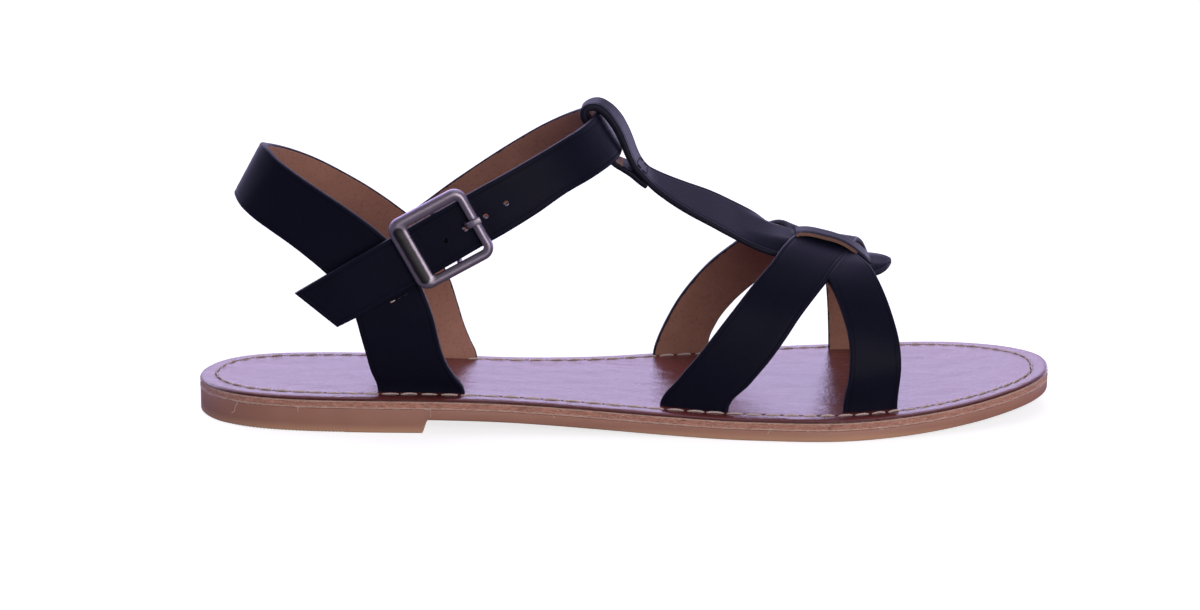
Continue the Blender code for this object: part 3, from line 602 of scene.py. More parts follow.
class TongueStrap:
    """T-strap whose middle lane rises through two slits and bridges the vamp straps."""

    def __init__(self, thickness):
        length = row_lengths(T_STRAP)[-1]
        stations = strap_stations(length, 1.0, (True, True))
        edges = sample(T_STRAP, stations)
        x = (edges[:, 0] + edges[:, 3]) / 2.0
        self.low_edge, self.high_edge = self.slit_lines(stations, edges, x)
        along = np.linspace(0.0, length, 400)
        body = np.interp(stations, along, np.interp(along, *np.transpose(TONGUE_BODY))) * thickness
        self.strap = Strap(T_STRAP, body, 1.0, ends=(True, True), columns=self.columns)
        self.first = int(np.argmin(np.abs(x - BRIDGE[0][0])))
        self.last = int(np.argmin(np.abs(x - (BRIDGE[-1][0] + 0.1))))
        self.lane_low = len(EDGE_STEPS) + MARGIN_LINES - 1
        self.lane_high = self.lane_low + LANE_LINES
        self.dome(np.where(stations > LOOP_LENGTH, x, 0.0))
        self.raise_lane()

    def slit_lines(self, stations, edges, x):
        """Share of the T-strap's width at which each slit lies, at each station."""
        bridge = np.asarray(BRIDGE)
        past_loop = stations > LOOP_LENGTH
        x = np.where(past_loop, x, BRIDGE[0][0])
        shares = []
        for column in (1, 4):
            y = np.interp(x, (bridge[:, 0] + bridge[:, 3]) / 2.0, bridge[:, column])
            share = (y - edges[:, 1]) / (edges[:, 4] - edges[:, 1])
            start = share[np.argmin(np.abs(x - BRIDGE[0][0]) + 99.0 * ~past_loop)]
            share = np.where(past_loop & (x > BRIDGE[0][0]), share, start)
            end = share[np.argmin(np.abs(x - BRIDGE[-1][0]))]
            shares.append(np.where(x > BRIDGE[-1][0], end, share))
        return np.clip(shares[0], 0.1, 0.45), np.clip(shares[1], 0.55, 0.9)

    def columns(self, width, station):
        low = width * self.low_edge[station]
        high = width * self.high_edge[station]
        far = [width - step for step in margin_columns(width - high)[::-1]]
        return np.array(margin_columns(low) + list(np.linspace(low, high, LANE_LINES + 1)[1:-1]) + far)

    def dome(self, x):
        """Lift the middle of the strap so that it meets the bridge at both ends of the slits."""
        shares = self.strap.columns / self.strap.width[:, None]
        near = shares / self.low_edge[:, None]
        far = (1.0 - shares) / (1.0 - self.high_edge[:, None])
        start, end = BRIDGE[0][0], BRIDGE[-1][0]
        first = smooth_step((x - start) / DOME_RUNS[0] + 1.0) * smooth_step((start - x) / DOME_RUNS[1] + 1.0)
        last = smooth_step((x - end) / DOME_RUNS[1] + 1.0) * smooth_step((end - x) / DOME_RUNS[1] + 1.0)
        rise = first * DOME_RISES[0] + last * DOME_RISES[1]
        lift = (rise[:, None] * smooth_step(np.minimum(near, far)))[..., None] * self.strap.normal[:, None]
        self.strap.grain = self.strap.grain + lift
        self.strap.lining = self.strap.lining + lift

    def raise_lane(self):
        """Corners of the lane, which leaves the strap's face at one end and returns at the other."""
        rows = slice(self.first, self.last + 1)
        cols = slice(self.lane_low, self.lane_high + 1)
        shares = np.linspace(0.0, 1.0, self.last + 1 - self.first)
        edges = sample(BRIDGE, shares * row_lengths(BRIDGE)[-1])
        left, right = edges[:, :3], edges[:, 3:]
        lead = unit(np.gradient((left + right) / 2.0, axis=0))
        normal = unit(np.cross(lead, unit(right - left)))[:, None]
        spread = np.linspace(0.0, 1.0, LANE_LINES + 1)
        face = left[:, None] + (right - left)[:, None] * spread[:, None]
        width = np.linalg.norm(right - left, axis=1)[:, None]
        self.lane_gap = np.minimum(spread, 1.0 - spread) * width
        free = smooth_step(np.minimum(shares, 1.0 - shares) * 12.0)[:, None, None]
        fall = rounding(self.lane_gap, 0.4)[..., None]
        self.lane_grain = self.strap.grain[rows, cols] * (1.0 - free) + (face - normal * fall) * free
        self.lane_lining = self.strap.lining[rows, cols] * (1.0 - free)
        self.lane_lining += (face - normal * BRIDGE_THICKNESS) * free

    def add_to(self, solid):
        top = solid.add_sheet(self.strap.grain, self.strap.gap)
        low = solid.add_sheet(self.strap.lining, self.strap.gap)
        side = cell_finish(self.strap.gap, GRAIN)
        under = cell_finish(self.strap.gap, LINING)
        along = self.strap.stations[:-1]
        # Lining painted dark at the tail, and round the loop's turn as painted shade
        start, end = SHADE_PAINTED_TURN
        under[(along < PAINTED_TAIL) | ((along > start) & (along < end))] = PAINT
        a, b, first, last = self.lane_low, self.lane_high, self.first, self.last
        final_row, final_column = top.shape[0] - 1, top.shape[1] - 1
        blocks = [(0, first, 0, final_column), (last, final_row, 0, final_column)]
        blocks += [(first, last, 0, a), (first, last, b, final_column)]
        for r0, r1, c0, c1 in blocks:
            area = (slice(r0, r1 + 1), slice(c0, c1 + 1))
            cells = (slice(r0, r1), slice(c0, c1))
            solid.add_grid(top[area], side[cells])
            solid.add_grid(low[area][:, ::-1], under[cells][:, ::-1])
        add_rim(solid, top, low)
        lane_top = solid.add_sheet(self.lane_grain, self.lane_gap)
        lane_low = solid.add_sheet(self.lane_lining, self.lane_gap)
        for lane, body in ((lane_top, top), (lane_low, low)):
            lane[0] = body[first, a : b + 1]
            lane[-1] = body[last, a : b + 1]
        solid.add_grid(lane_top, cell_finish(self.lane_gap, GRAIN, reach=0.35))
        solid.add_grid(lane_low[:, ::-1], LINING)
        rows = slice(first, last + 1)
        bare = np.where(self.lane_grain[:-1, 0, 0] < RAW_LANE_END, RAW, PAINT)[None]
        solid.add_grid(np.array([lane_low[:, 0], lane_top[:, 0]]), bare)
        solid.add_grid(np.array([lane_top[:, -1], lane_low[:, -1]]), bare)
        solid.add_grid(np.array([top[rows, a], low[rows, a]]), RAW)
        solid.add_grid(np.array([low[rows, b], top[rows, b]]), RAW)


# Buckle


def buckle_matrix():
    """From buckle axes (along strap, across strap, outward) to the shoe in millimetres."""
    turn = math.radians(BUCKLE_TILT)
    along = Vector((math.cos(turn), 0.0, math.sin(turn)))
    across = Vector((-math.sin(turn), 0.0, math.cos(turn)))
    out = Vector((0.0, -1.0, 0.0))
    axes = Matrix((along, across, out)).transposed().to_4x4()
    return Matrix.Translation(Vector(BUCKLE_CENTRE)) @ axes


def to_shoe(points):
    matrix = np.array(buckle_matrix())
    points = np.asarray(points, dtype=float)
    return points @ matrix[:3, :3].T + matrix[:3, 3]


def rounded_loop(sides, radius, out):
    """Rounded rectangle in buckle axes."""
    rear, front, low, high = sides
    steps = 10
    loop = []
    corners = ((front, low, -90), (front, high, 0), (rear, high, 90), (rear, low, 180))
    for corner_u, corner_v, start in corners:
        middle_u = corner_u - math.copysign(radius, corner_u)
        middle_v = corner_v - math.copysign(radius, corner_v)
        for step in range(steps + 1):
            angle = math.radians(start + 90.0 * step / steps)
            loop.append((middle_u + radius * math.cos(angle), middle_v + radius * math.sin(angle), out))
    return loop


def sweep(solid, path, outline, ups, finish=0):
    """Bar with the given outline (side, up) along a path; ups gives the up direction at each point."""
    path = np.asarray(path, dtype=float)
    lead = unit(np.gradient(path, axis=0))
    ups = np.broadcast_to(np.asarray(ups, dtype=float), path.shape)
    side = unit(np.cross(lead, ups))
    up = np.cross(side, lead)
    outline = np.asarray(outline, dtype=float)
    rings = path[:, None] + side[:, None] * outline[:, :1] + up[:, None] * outline[:, 1:]
    add_rings(solid, rings, finish)


def add_rings(solid, rings, finish=0):
    """Closed bar through rings of points, with a face at each end."""
    index = solid.add_sheet(rings)
    solid.add_grid(np.hstack((index, index[:, :1])), finish)
    solid.add_face(index[0], finish)
    solid.add_face(index[-1, ::-1], finish)


def circle(radius, sides):
    turns = np.arange(sides) * 2.0 * math.pi / sides
    return np.stack((np.cos(turns) * radius, np.sin(turns) * radius), axis=1)


def hole_cutter(place, radius, sides=20):
    """Round punch through the ankle strap."""
    solid = Solid()
    turns = circle(radius, sides)
    side = HOLE_SIDE + HOLE_DRIFT * place
    rings = [[(place + u, side + v, out) for u, v in turns] for out in (-6.0, 3.0)]
    add_rings(solid, to_shoe(np.array(rings)))
    return solid.build("punch", [])


# Sole


def edge_of_sole(x):
    """Outer and inner edge of the sole at distance x from the heel."""
    table = np.asarray(OUTLINE)
    turns = np.arccos(1.0 - 2.0 * table[:, 0] / SOLE_LENGTH)
    turn = math.acos(1.0 - 2.0 * min(max(x / SOLE_LENGTH, 0.0), 1.0))
    i = int(np.clip(np.searchsorted(turns, turn) - 1, 0, len(turns) - 2))
    span = turns[i + 1] - turns[i]
    slopes = np.gradient(table[:, 1:], turns, axis=0)
    return blend(table[:, 1:], slopes, i, (turn - turns[i]) / span, span)


def arch_rise(x):
    """Height of the sheet's underside over the floor, without the heel block."""
    if x > TOE_ROCKER_START:
        return TOE_SPRING * ((x - TOE_ROCKER_START) / (SOLE_LENGTH - TOE_ROCKER_START)) ** 2
    start = HEEL_BREAST - 5.0
    return HEEL_BLOCK_DROP * (1.0 - smooth_step((x - start) / (ARCH_END - start)))


def tread_height(x):
    """Underside of the outsole: heel block on the floor, step, arch, ball and rocker."""
    return arch_rise(x) * float(smooth_step((x - HEEL_BREAST + 0.4) / (HEEL_STEP_RUN + 0.6)))


def rubber_top(x):
    return arch_rise(x) + RUBBER_THICKNESS


def board_low(x):
    return rubber_top(x) + LAYER_GAP


def board_top(x):
    return board_low(x) + BOARD_THICKNESS


def cover_low(x):
    return board_top(x) + LAYER_GAP


def cover_top(x):
    return cover_low(x) + COVER_THICKNESS


def groove_rise(x, grooves):
    """How far the heel's underside stands off the floor in its moulded grooves."""
    start, end = GROOVE_ENDS
    if not start < x < end or not grooves:
        return 0.0
    along = (x - start) / (end - start) * grooves % 1.0
    return GROOVE_DEPTH * float(np.interp(along, *np.transpose(GROOVE_SHAPE)))


def sole_stations(count=210, grooves=0):
    turns = np.linspace(0.0, math.pi, count + 1)
    stations = list((1.0 - np.cos(turns)) * SOLE_LENGTH / 2.0)
    step = (-0.4, -0.15, 0.08, 0.3, 0.6, 0.9, 1.12, 1.4)
    stations = [x for x in stations if not -0.6 < x - HEEL_BREAST < HEEL_STEP_RUN + 0.5]
    if grooves:
        start, end = GROOVE_ENDS
        pitch = (end - start) / grooves
        stations = [x for x in stations if not start - 0.2 < x < end + 0.2]
        stations += [start + (k + along) * pitch for k in range(grooves) for along, _ in GROOVE_SHAPE[1:]]
        stations.append(start)
    return np.array(sorted(stations + [HEEL_BREAST + s for s in step]))


class Outline:
    """Sole outline from the back of the heel, round the outer side and the toe, and back."""

    def __init__(self, count=210, grooves=0):
        self.stations = sole_stations(count, grooves)
        edges = np.array([edge_of_sole(x) for x in self.stations])
        outer = np.stack((self.stations, edges[:, 0]), axis=1)
        inner = np.stack((self.stations, edges[:, 1]), axis=1)
        self.points = np.concatenate((outer, inner[-2:0:-1]))
        ahead = np.roll(self.points, -1, axis=0) - np.roll(self.points, 1, axis=0)
        self.inward = unit(np.stack((-ahead[:, 1], ahead[:, 0]), axis=1))
        self.last = len(self.stations) - 1

    def inset(self, depth):
        return self.points + self.inward * np.asarray(depth).reshape(-1, 1)

    def rows(self, loop):
        """The loop's corner numbers as pairs across the sole, heel to toe."""
        count = len(self.points)
        return [(loop[i], loop[(count - i) % count]) for i in range(self.last + 1)]


def add_sole_face(solid, outline, loop, height, offset):
    """Fill a sole face inside its innermost loop with rows across it."""
    grid = []
    for near, far in outline.rows(loop):
        if near == far:
            grid.append([near] * (SOLE_COLUMNS + 1))
            continue
        a, b = np.array(solid.points[near]), np.array(solid.points[far])
        shares = np.linspace(0.0, 1.0, SOLE_COLUMNS + 1)[1:-1, None]
        line = a + (b - a) * shares
        line[:, 2] = [height(x) + offset for x in line[:, 0]]
        first = solid.add_points(line, np.full(len(line), INSIDE_SOLE))
        grid.append([near, *range(first, first + SOLE_COLUMNS - 1), far])
    solid.add_grid(np.array(grid), 0)


def add_sole_layer(solid, outline, steps, low, high, mark_height=False):
    """Layer of the sole: steps run (inset, height share, offset) from under its edge over to its top.

    Its edge_gap is the inset from the edge, or the share of its height.
    """
    loops = []
    for depth, share, offset in steps:
        flat = outline.inset(depth)
        z = [low(x) * (1.0 - share) + high(x) * share + offset for x, _ in flat]
        mark = share if mark_height else depth
        first = solid.add_points(np.column_stack((flat, z)), np.full(len(flat), mark))
        loops.append(first + np.arange(len(flat)))
    closed = np.array([np.append(loop, loop[0]) for loop in loops])
    for k in range(len(loops) - 1):
        solid.add_grid(closed[k : k + 2], 0)
    add_sole_face(solid, outline, loops[-1], high, steps[-1][2])
    add_sole_face(solid, outline, loops[0], low, steps[0][2])


# Finishes


class Wire:
    """A socket that takes part in sums: values through Math nodes, colours through Vector Math."""

    def __init__(self, recipe, socket):
        self.recipe = recipe
        self.socket = socket

    def join(self, operation, *others):
        plain = all(not isinstance(w, Wire) or w.socket.type == "VALUE" for w in others)
        kind = "ShaderNodeMath" if plain else "ShaderNodeVectorMath"
        return self.recipe.node(kind, {"operation": operation}, dict(enumerate(others)))

    def __add__(self, other):
        return self.join("ADD", self, other)

    def __sub__(self, other):
        return self.join("SUBTRACT", self, other)

    def __rsub__(self, other):
        return self.join("SUBTRACT", other, self)

    def __mul__(self, other):
        return self.join("MULTIPLY", self, other)

    def __abs__(self):
        return self.join("ABSOLUTE", self)

    def most(self, other):
        return self.join("MAXIMUM", self, other)

    __radd__ = __add__
    __rmul__ = __mul__


class Recipe:
    """Node tree of one finish."""

    def __init__(self, owner):
        owner.use_nodes = True
        self.tree = owner.node_tree
        self.tree.nodes.clear()

    def node(self, kind, settings=None, values=None, output=0):
        """Node of this type: its settings, then the values or links of its sockets."""
        made = self.tree.nodes.new(kind)
        for name, setting in (settings or {}).items():
            setattr(made, name, setting)
        for name, value in (values or {}).items():
            if isinstance(value, Wire):
                self.tree.links.new(value.socket, made.inputs[name])
            elif isinstance(value, tuple) and made.inputs[name].type == "RGBA":
                made.inputs[name].default_value = (*value, 1.0)[:4]
            else:
                made.inputs[name].default_value = value
        return Wire(self, made.outputs[output]) if len(made.outputs) else made

    def place(self):
        """Position in the piece, in millimetres."""
        metres = self.node("ShaderNodeTexCoord", output="Object")
        return self.node("ShaderNodeVectorMath", {"operation": "SCALE"}, {0: metres, "Scale": 1.0 / MM})

    def part_of(self, vector, axis):
        return self.node("ShaderNodeSeparateXYZ", values={0: vector}, output=axis)

    def noise(self, place, size, detail=2.0, rough=0.5, stretch=None):
        """Soft noise from 0 to 1 whose grains are about this many millimetres."""
        if stretch:
            place = self.node("ShaderNodeVectorMath", {"operation": "MULTIPLY"}, {0: place, 1: stretch})
        values = {"Vector": place, "Scale": 1.0 / size, "Detail": detail, "Roughness": rough}
        return self.node("ShaderNodeTexNoise", values=values)

    def cells(self, place, size):
        values = {"Vector": place, "Scale": 1.0 / size}
        return self.node("ShaderNodeTexVoronoi", {"feature": "F1"}, values)

    def step(self, value, start, end, low=0.0, high=1.0):
        values = {"Value": value, "From Min": start, "From Max": end, "To Min": low, "To Max": high}
        return self.node("ShaderNodeMapRange", {"interpolation_type": "SMOOTHSTEP"}, values)

    def mix(self, amount, first, second):
        return self.node("ShaderNodeMix", {"data_type": "RGBA"}, {0: amount, 6: first, 7: second}, output=2)

    def edge_gap(self):
        """Millimetres to the nearest edge of the piece."""
        return self.node("ShaderNodeAttribute", {"attribute_name": "edge_gap"}, output="Fac")

    def bump(self, height, depth_mm, normal=None):
        values = {"Height": height, "Distance": depth_mm * MM, "Strength": 1.0}
        if normal:
            values["Normal"] = normal
        return self.node("ShaderNodeBump", values=values)

    def vary(self, amount, colour, low, high):
        """Between a darker and a lighter shade of a colour."""
        return self.mix(amount, shade(colour, low), shade(colour, high))

    def surface(self, colour, rough, normal, fixed=None):
        """The shader itself: colour, roughness and normal vary, the fixed values are the same all over."""
        values = {**(fixed or {}), "Base Color": colour, "Roughness": rough, "Normal": normal}
        shader = self.node("ShaderNodeBsdfPrincipled", values=values)
        self.node("ShaderNodeOutputMaterial", values={"Surface": shader})


def shade(colour, factor):
    return tuple(channel * factor for channel in colour[:3])


def finish_of(maker, colours):
    """The finish that a function describes, named after it, made on first use and shared from then on."""
    finish = bpy.data.materials.get(maker.__name__)
    if finish is None:
        finish = bpy.data.materials.new(maker.__name__)
        maker(Recipe(finish), colours)
    return finish


def navy_leather(recipe, colours):
    """Matt navy-black grain leather with a pressed line near its edges, darkened there with painted shade,
    and a lighter rim that is partly rubbed wear, partly a painted highlight.
    """
    place = recipe.place()
    gap = recipe.edge_gap()
    pores = recipe.cells(place, 0.45)
    grain = recipe.noise(place, 0.9, 3.0, 0.6)
    patches = recipe.noise(place, 9.0, 2.0, 0.55)
    # Lighter rim within 0.8 mm of the edge: partly rubbed wear, partly a painted highlight
    rubbed_and_rim_highlight = recipe.step(gap, 0.8, 0.25)
    # Painted shade along the pressed crease line
    pressed = recipe.step(abs(gap - CREASE_INSET), 0.3, 0.05)
    colour = recipe.vary(patches * 0.5 + grain * 0.5, colours.strap, 0.75, 1.3)
    colour = recipe.mix(rubbed_and_rim_highlight * 0.5, colour, shade(colours.strap, 1.8))
    colour = recipe.mix(pressed * 0.5, colour, shade(colours.strap, 0.5))
    rough = 0.35 + patches * 0.06 - rubbed_and_rim_highlight * 0.08 + pores * 0.05
    normal = recipe.bump(pores * 0.4 + grain * 0.6, 0.045)
    recipe.surface(colour, rough, normal, {"Specular IOR Level": 0.032})


def edge_paint(recipe, colours):
    """Rubbery black paint on the cut edges, a little glossier than the grain side."""
    place = recipe.place()
    drops = recipe.noise(place, 1.6)
    fine = recipe.noise(place, 0.35, 2.0, 0.6)
    colour = recipe.vary(drops, colours.strap, 0.7, 1.3)
    normal = recipe.bump(drops * 0.7 + fine * 0.3, 0.06)
    recipe.surface(colour, 0.4 + fine * 0.16, normal, {"Specular IOR Level": 0.12})


def strap_lining(recipe, colours):
    """Brown split-leather lining with a short nap and darker flecks."""
    place = recipe.place()
    nap = recipe.noise(place, 0.35, 4.0, 0.7)
    flecks = recipe.step(recipe.noise(place, 0.8, 2.0, 0.6), 0.52, 0.72)
    cloud = recipe.noise(place, 7.0, 3.0, 0.55)
    colour = recipe.vary(cloud, colours.lining, 0.82, 1.15)
    colour = recipe.mix(flecks * 0.45, colour, shade(colours.lining, 0.5))
    ragged = recipe.edge_gap() + recipe.noise(place, 2.4, 3.0, 0.65) * 1.5
    colour = recipe.mix(recipe.step(ragged, 1.15, 0.95) * 0.93, colour, shade(colours.strap, 1.0))
    fixed = {"Specular IOR Level": 0.25, "Sheen Weight": 0.12, "Sheen Roughness": 0.6}
    recipe.surface(colour, 0.78 + nap * 0.15, recipe.bump(nap, 0.12), fixed)


def raw_edge(recipe, colours):
    """Unpainted cut through the strap's layers."""
    fibres = recipe.noise(recipe.place(), 0.3, 3.0, 0.7)
    colour = recipe.vary(fibres, colours.lining, 0.3, 0.85)
    recipe.surface(colour, 0.8 + fibres * 0.1, recipe.bump(fibres, 0.1))


def waxed_insole(recipe, colours):
    """Smooth reddish-brown leather, darker and waxed at its edge, with painted shade in its stitch groove."""
    place = recipe.place()
    gap = recipe.edge_gap()
    cloud = recipe.noise(place, 14.0, 3.0, 0.55)
    pores = recipe.cells(place, 0.55)
    fine = recipe.noise(place, 1.1, 3.0, 0.6)
    marks = recipe.step(recipe.noise(place, 5.0, 4.0, 0.7, (0.25, 1.0, 1.0)), 0.6, 0.75)
    specks = recipe.step(recipe.noise(place, 1.6, 1.0, 0.4), 0.73, 0.77)
    rim = recipe.step(gap, 0.5, 0.1)
    # Painted shade in the stitch groove
    groove = recipe.step(abs(gap - 4.5), 0.85, 0.3)
    colour = recipe.vary(cloud, colours.insole, 0.82, 1.18)
    colour = recipe.mix(marks * 0.25, colour, shade(colours.insole, 1.7))
    colour = recipe.mix(rim * 0.6, colour, shade(colours.insole, 0.4))
    # Dark specks, and painted shade in the stitch groove
    colour = recipe.mix((groove * 0.7).most(specks * 0.8), colour, shade(colours.insole, 0.4))
    rough = 0.16 + cloud * 0.08 + fine * 0.05 + marks * 0.08
    swells = recipe.bump(recipe.noise(place, 7.5, 3.0, 0.5, (0.6, 1.0, 1.0)), 0.45)
    normal = recipe.bump(pores * 0.6 + fine * 0.4, 0.09, normal=swells)
    recipe.surface(colour, rough, normal, {"Specular IOR Level": 0.5})


def fibre_board(recipe, colours):
    """Pressed fibre board with a raw, fuzzy cut edge in fine layers, and painted shade in its pits."""
    place = recipe.place()
    layers = recipe.noise(place, 0.9, 4.0, 0.75, (0.45, 0.45, 2.2))
    fuzz = recipe.noise(place, 0.28, 3.0, 0.7)
    cloud = recipe.noise(place, 6.0)
    flecks = recipe.step(recipe.noise(place, 0.55, 2.0, 0.6), 0.56, 0.68)
    # Pits in the cut edge, recessed by the bump and darkened with painted shade
    shaded_pits = recipe.step(recipe.noise(place, 1.3, 3.0, 0.7, (0.8, 0.8, 1.6)), 0.42, 0.3)
    share = recipe.edge_gap()
    wander = recipe.noise(place, 1.8, 3.0, 0.65) - 0.5
    low_fuzz = recipe.step(share + fuzz * 0.34 + wander * 0.5, 0.36, 0.24)
    top_fuzz = recipe.step(share + fuzz * 0.12, 0.99, 1.04)
    colour = recipe.vary(recipe.step(layers, 0.3, 0.7), colours.board, 0.5, 1.3)
    colour = recipe.mix(cloud * 0.5, colour, shade(colours.board, 0.85))
    colour = recipe.mix(flecks * 0.55, colour, FLECK_TINT)
    colour = recipe.mix(shaded_pits * 0.7, colour, PIT_SHADE_TINT)
    colour = recipe.mix(low_fuzz.most(top_fuzz) * 0.6, colour, FUZZ_TINT)
    normal = recipe.bump(layers * 0.5 + fuzz * 0.5 - shaded_pits * 0.5, 0.22)
    fixed = {"Specular IOR Level": 0.3, "Sheen Weight": 0.15, "Sheen Roughness": 0.6}
    recipe.surface(colour, 0.85 + fuzz * 0.12, normal, fixed)


def sole_rubber(recipe, colours):
    """Moulded gum rubber, a little translucent, with a painted warm glow of floor light towards the floor."""
    place = recipe.place()
    height = recipe.part_of(place, "Z")
    cloud = recipe.noise(place, 12.0)
    fine = recipe.noise(place, 0.5, 3.0, 0.6)
    dust = recipe.step(recipe.noise(place, 0.9, 3.0, 0.6), 0.62, 0.8)
    colour = recipe.vary(cloud, colours.rubber, 0.9, 1.1)
    # Painted warm glow of light from the floor, lighter and warmer within 3 mm of the bottom
    colour = recipe.mix(recipe.step(height, 3.0, 0.0) * 0.75, colour, FLOOR_GLOW_TINT)
    colour = recipe.mix(dust * 0.18, colour, DUST_TINT)
    fixed = {"Specular IOR Level": 0.4, "Subsurface Weight": 0.08, "Subsurface Scale": 0.002}
    recipe.surface(colour, 0.42 + fine * 0.14 + dust * 0.1, recipe.bump(fine, 0.05), fixed)


def satin_nickel(recipe, colours):
    """Satin nickel with fine brushing, soft wear and a painted dark reflection along one bar."""
    place = recipe.place()
    brushed = recipe.noise(place, 0.3, 2.0, 0.6, (0.3, 1.0, 0.3))
    cloud = recipe.noise(place, 3.0)
    wear = recipe.step(recipe.noise(place, 0.9, 3.0, 0.6), 0.6, 0.78)
    colour = recipe.vary(cloud, colours.metal, 0.85, 1.15)
    colour = recipe.mix(wear * 0.3, colour, shade(colours.metal, 1.5))
    # Painted dark reflection along the frame's rear bar
    painted_reflection = recipe.step(recipe.edge_gap() + cloud * 0.4, 2.1, 1.35)
    colour = recipe.mix(painted_reflection * 0.93, colour, DARK_REFLECTION_TINT)
    rough = 0.4 + brushed * 0.1 + wear * 0.06
    recipe.surface(colour, rough, recipe.bump(brushed, 0.012), {"Metallic": 1.0})


def waxed_thread(name, colour):
    """Twisted sewing thread."""
    finish = bpy.data.materials.new(name)
    recipe = Recipe(finish)
    place = recipe.place()
    hair = recipe.noise(place, 0.16, 3.0, 0.7)
    soil = recipe.noise(place, 4.0)
    tint = recipe.vary(hair, colour, 0.7, 1.15)
    tint = recipe.mix(recipe.step(soil, 0.45, 0.75) * 0.4, tint, shade(colour, 0.6))
    recipe.surface(tint, 0.6 + hair * 0.25, recipe.bump(hair, 0.05))
    return finish


def strap_finishes(colours):
    """Finishes in the order of GRAIN, PAINT, LINING and RAW."""
    return [finish_of(maker, colours) for maker in (navy_leather, edge_paint, strap_lining, raw_edge)]


# Settings


class SandalSizes(bpy.types.PropertyGroup):
    """Sizes of the trim; lengths are in millimetres unless the property says otherwise."""

    strap_thickness: FloatProperty(name="Strap thickness", description="Vamp, heel and ankle straps, in mm",
                                   default=1.9, min=1.0, max=3.0)
    tongue_thickness: FloatProperty(name="T-strap thickness", description="T-strap and its bridge, in mm",
                                    default=1.7, min=1.0, max=3.0)
    thread: FloatProperty(name="Thread", description="Radius of one ply of the sole thread, in mm",
                          default=0.18, min=0.1, max=0.5)
    stitch_inset: FloatProperty(name="Stitch inset", description="From the insole's edge to its seam, in mm",
                                default=4.7, min=2.0, max=8.0)
    fibres: IntProperty(name="Loose fibres", description="Fibres pulled out of the board's cut edge",
                        default=900, min=0, max=3000)
    heel_grooves: IntProperty(name="Heel grooves", description="Grooves moulded across the heel's underside",
                              default=33, min=0, max=60)


def colour_property(name, description, default):
    return FloatVectorProperty(name=name, description=description, subtype="COLOR", default=default,
                               min=0.0, max=1.0)


class SandalColours(bpy.types.PropertyGroup):
    """Base colours of the finishes."""

    strap: colour_property("Strap", "Grain side and painted edges", (0.0065, 0.0068, 0.0150))
    lining: colour_property("Lining", "Inner side of the straps", (0.29, 0.140, 0.100))
    insole: colour_property("Insole", "Insole leather", (0.125, 0.030, 0.026))
    board: colour_property("Board", "Fibre board's edge", (0.475, 0.22, 0.16))
    rubber: colour_property("Rubber", "Moulded outsole", (0.355, 0.17, 0.12))
    thread: colour_property("Thread", "Sole stitching", (0.60, 0.48, 0.44))
    metal: colour_property("Metal", "Buckle and prong", (0.32, 0.28, 0.335))


# Pieces


def fit(obj, slot, *nodes):
    """Put a finished piece on the shoe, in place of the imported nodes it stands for."""
    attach(obj, "root")
    if nodes:
        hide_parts(*nodes)
    return obj


class SandalOperator:
    """What every building operator shares."""

    bl_options = {"REGISTER", "UNDO"}


class SANDAL_OT_outsole(SandalOperator, bpy.types.Operator):
    """Build the moulded rubber outsole with the grooves under its heel"""

    bl_idname = "sandal.outsole"
    bl_label = "Outsole"

    def execute(self, context):
        sizes = context.scene.sandal_sizes
        colours = context.scene.sandal_colours
        solid = Solid()
        grooves = sizes.heel_grooves
        steps = ((6.0, 0.0, 0.0), (0.7, 0.0, 0.0), (0.35, 0.0, 0.06), (0.1, 0.0, 0.25), (0.0, 0.0, 0.55),
                 (0.0, 0.5, 0.0), (0.0, 1.0, -0.4), (0.08, 1.0, -0.18), (0.25, 1.0, -0.05), (0.6, 1.0, 0.0))

        def tread(x):
            return tread_height(x) + groove_rise(x, grooves)

        add_sole_layer(solid, Outline(grooves=grooves), steps, tread, rubber_top)
        rubber = solid.build("outsole_rubber", [finish_of(sole_rubber, colours)])
        fit(rubber, "outsole_rubber", "outsole")
        return {"FINISHED"}


class SANDAL_OT_board(SandalOperator, bpy.types.Operator):
    """Build the fibre board between rubber and insole"""

    bl_idname = "sandal.board"
    bl_label = "Fibre board"

    def execute(self, context):
        colours = context.scene.sandal_colours
        solid = Solid()
        gap = LAYER_GAP - 0.02
        steps = ((6.0, 0.0, -gap), (0.4, 0.0, -gap), (0.06, 0.0, 0.03 - gap), (-0.04, 0.08, 0.0),
                 (0.0, 0.25, 0.0), (0.03, 0.5, 0.0), (0.0, 0.75, 0.0), (0.02, 0.92, 0.0),
                 (0.12, 1.0, -0.02), (0.3, 1.0, gap), (0.8, 1.0, gap))
        add_sole_layer(solid, Outline(), steps, board_low, board_top, mark_height=True)
        board = solid.build("fibre_board", [finish_of(fibre_board, colours)])
        fit(board, "midsole_board", "midsole")
        return {"FINISHED"}


class SANDAL_OT_insole(SandalOperator, bpy.types.Operator):
    """Build the insole with its rounded edge and stitching groove"""

    bl_idname = "sandal.insole"
    bl_label = "Insole"

    def execute(self, context):
        sizes = context.scene.sandal_sizes
        colours = context.scene.sandal_colours
        solid = Solid()
        line = sizes.stitch_inset
        steps = ((6.0, 0.0, 0.0), (0.4, 0.0, 0.0), (0.1, 0.0, 0.1), (0.0, 0.25, 0.0), (0.05, 1.0, -0.7),
                 (0.25, 1.0, -0.47), (0.6, 1.0, -0.27), (1.1, 1.0, -0.12), (1.8, 1.0, -0.03),
                 (2.6, 1.0, 0.02), (line - 0.8, 1.0, 0.02), (line - 0.4, 1.0, -0.06), (line, 1.0, -0.25),
                 (line + 0.4, 1.0, -0.04), (line + 0.8, 1.0, 0.02), (7.5, 1.0, 0.0), (10.0, 1.0, 0.0))
        add_sole_layer(solid, Outline(), steps, cover_low, cover_top)
        cover = solid.build("insole_cover", [finish_of(waxed_insole, colours)])
        fit(cover, "insole_leather", "insole")
        return {"FINISHED"}


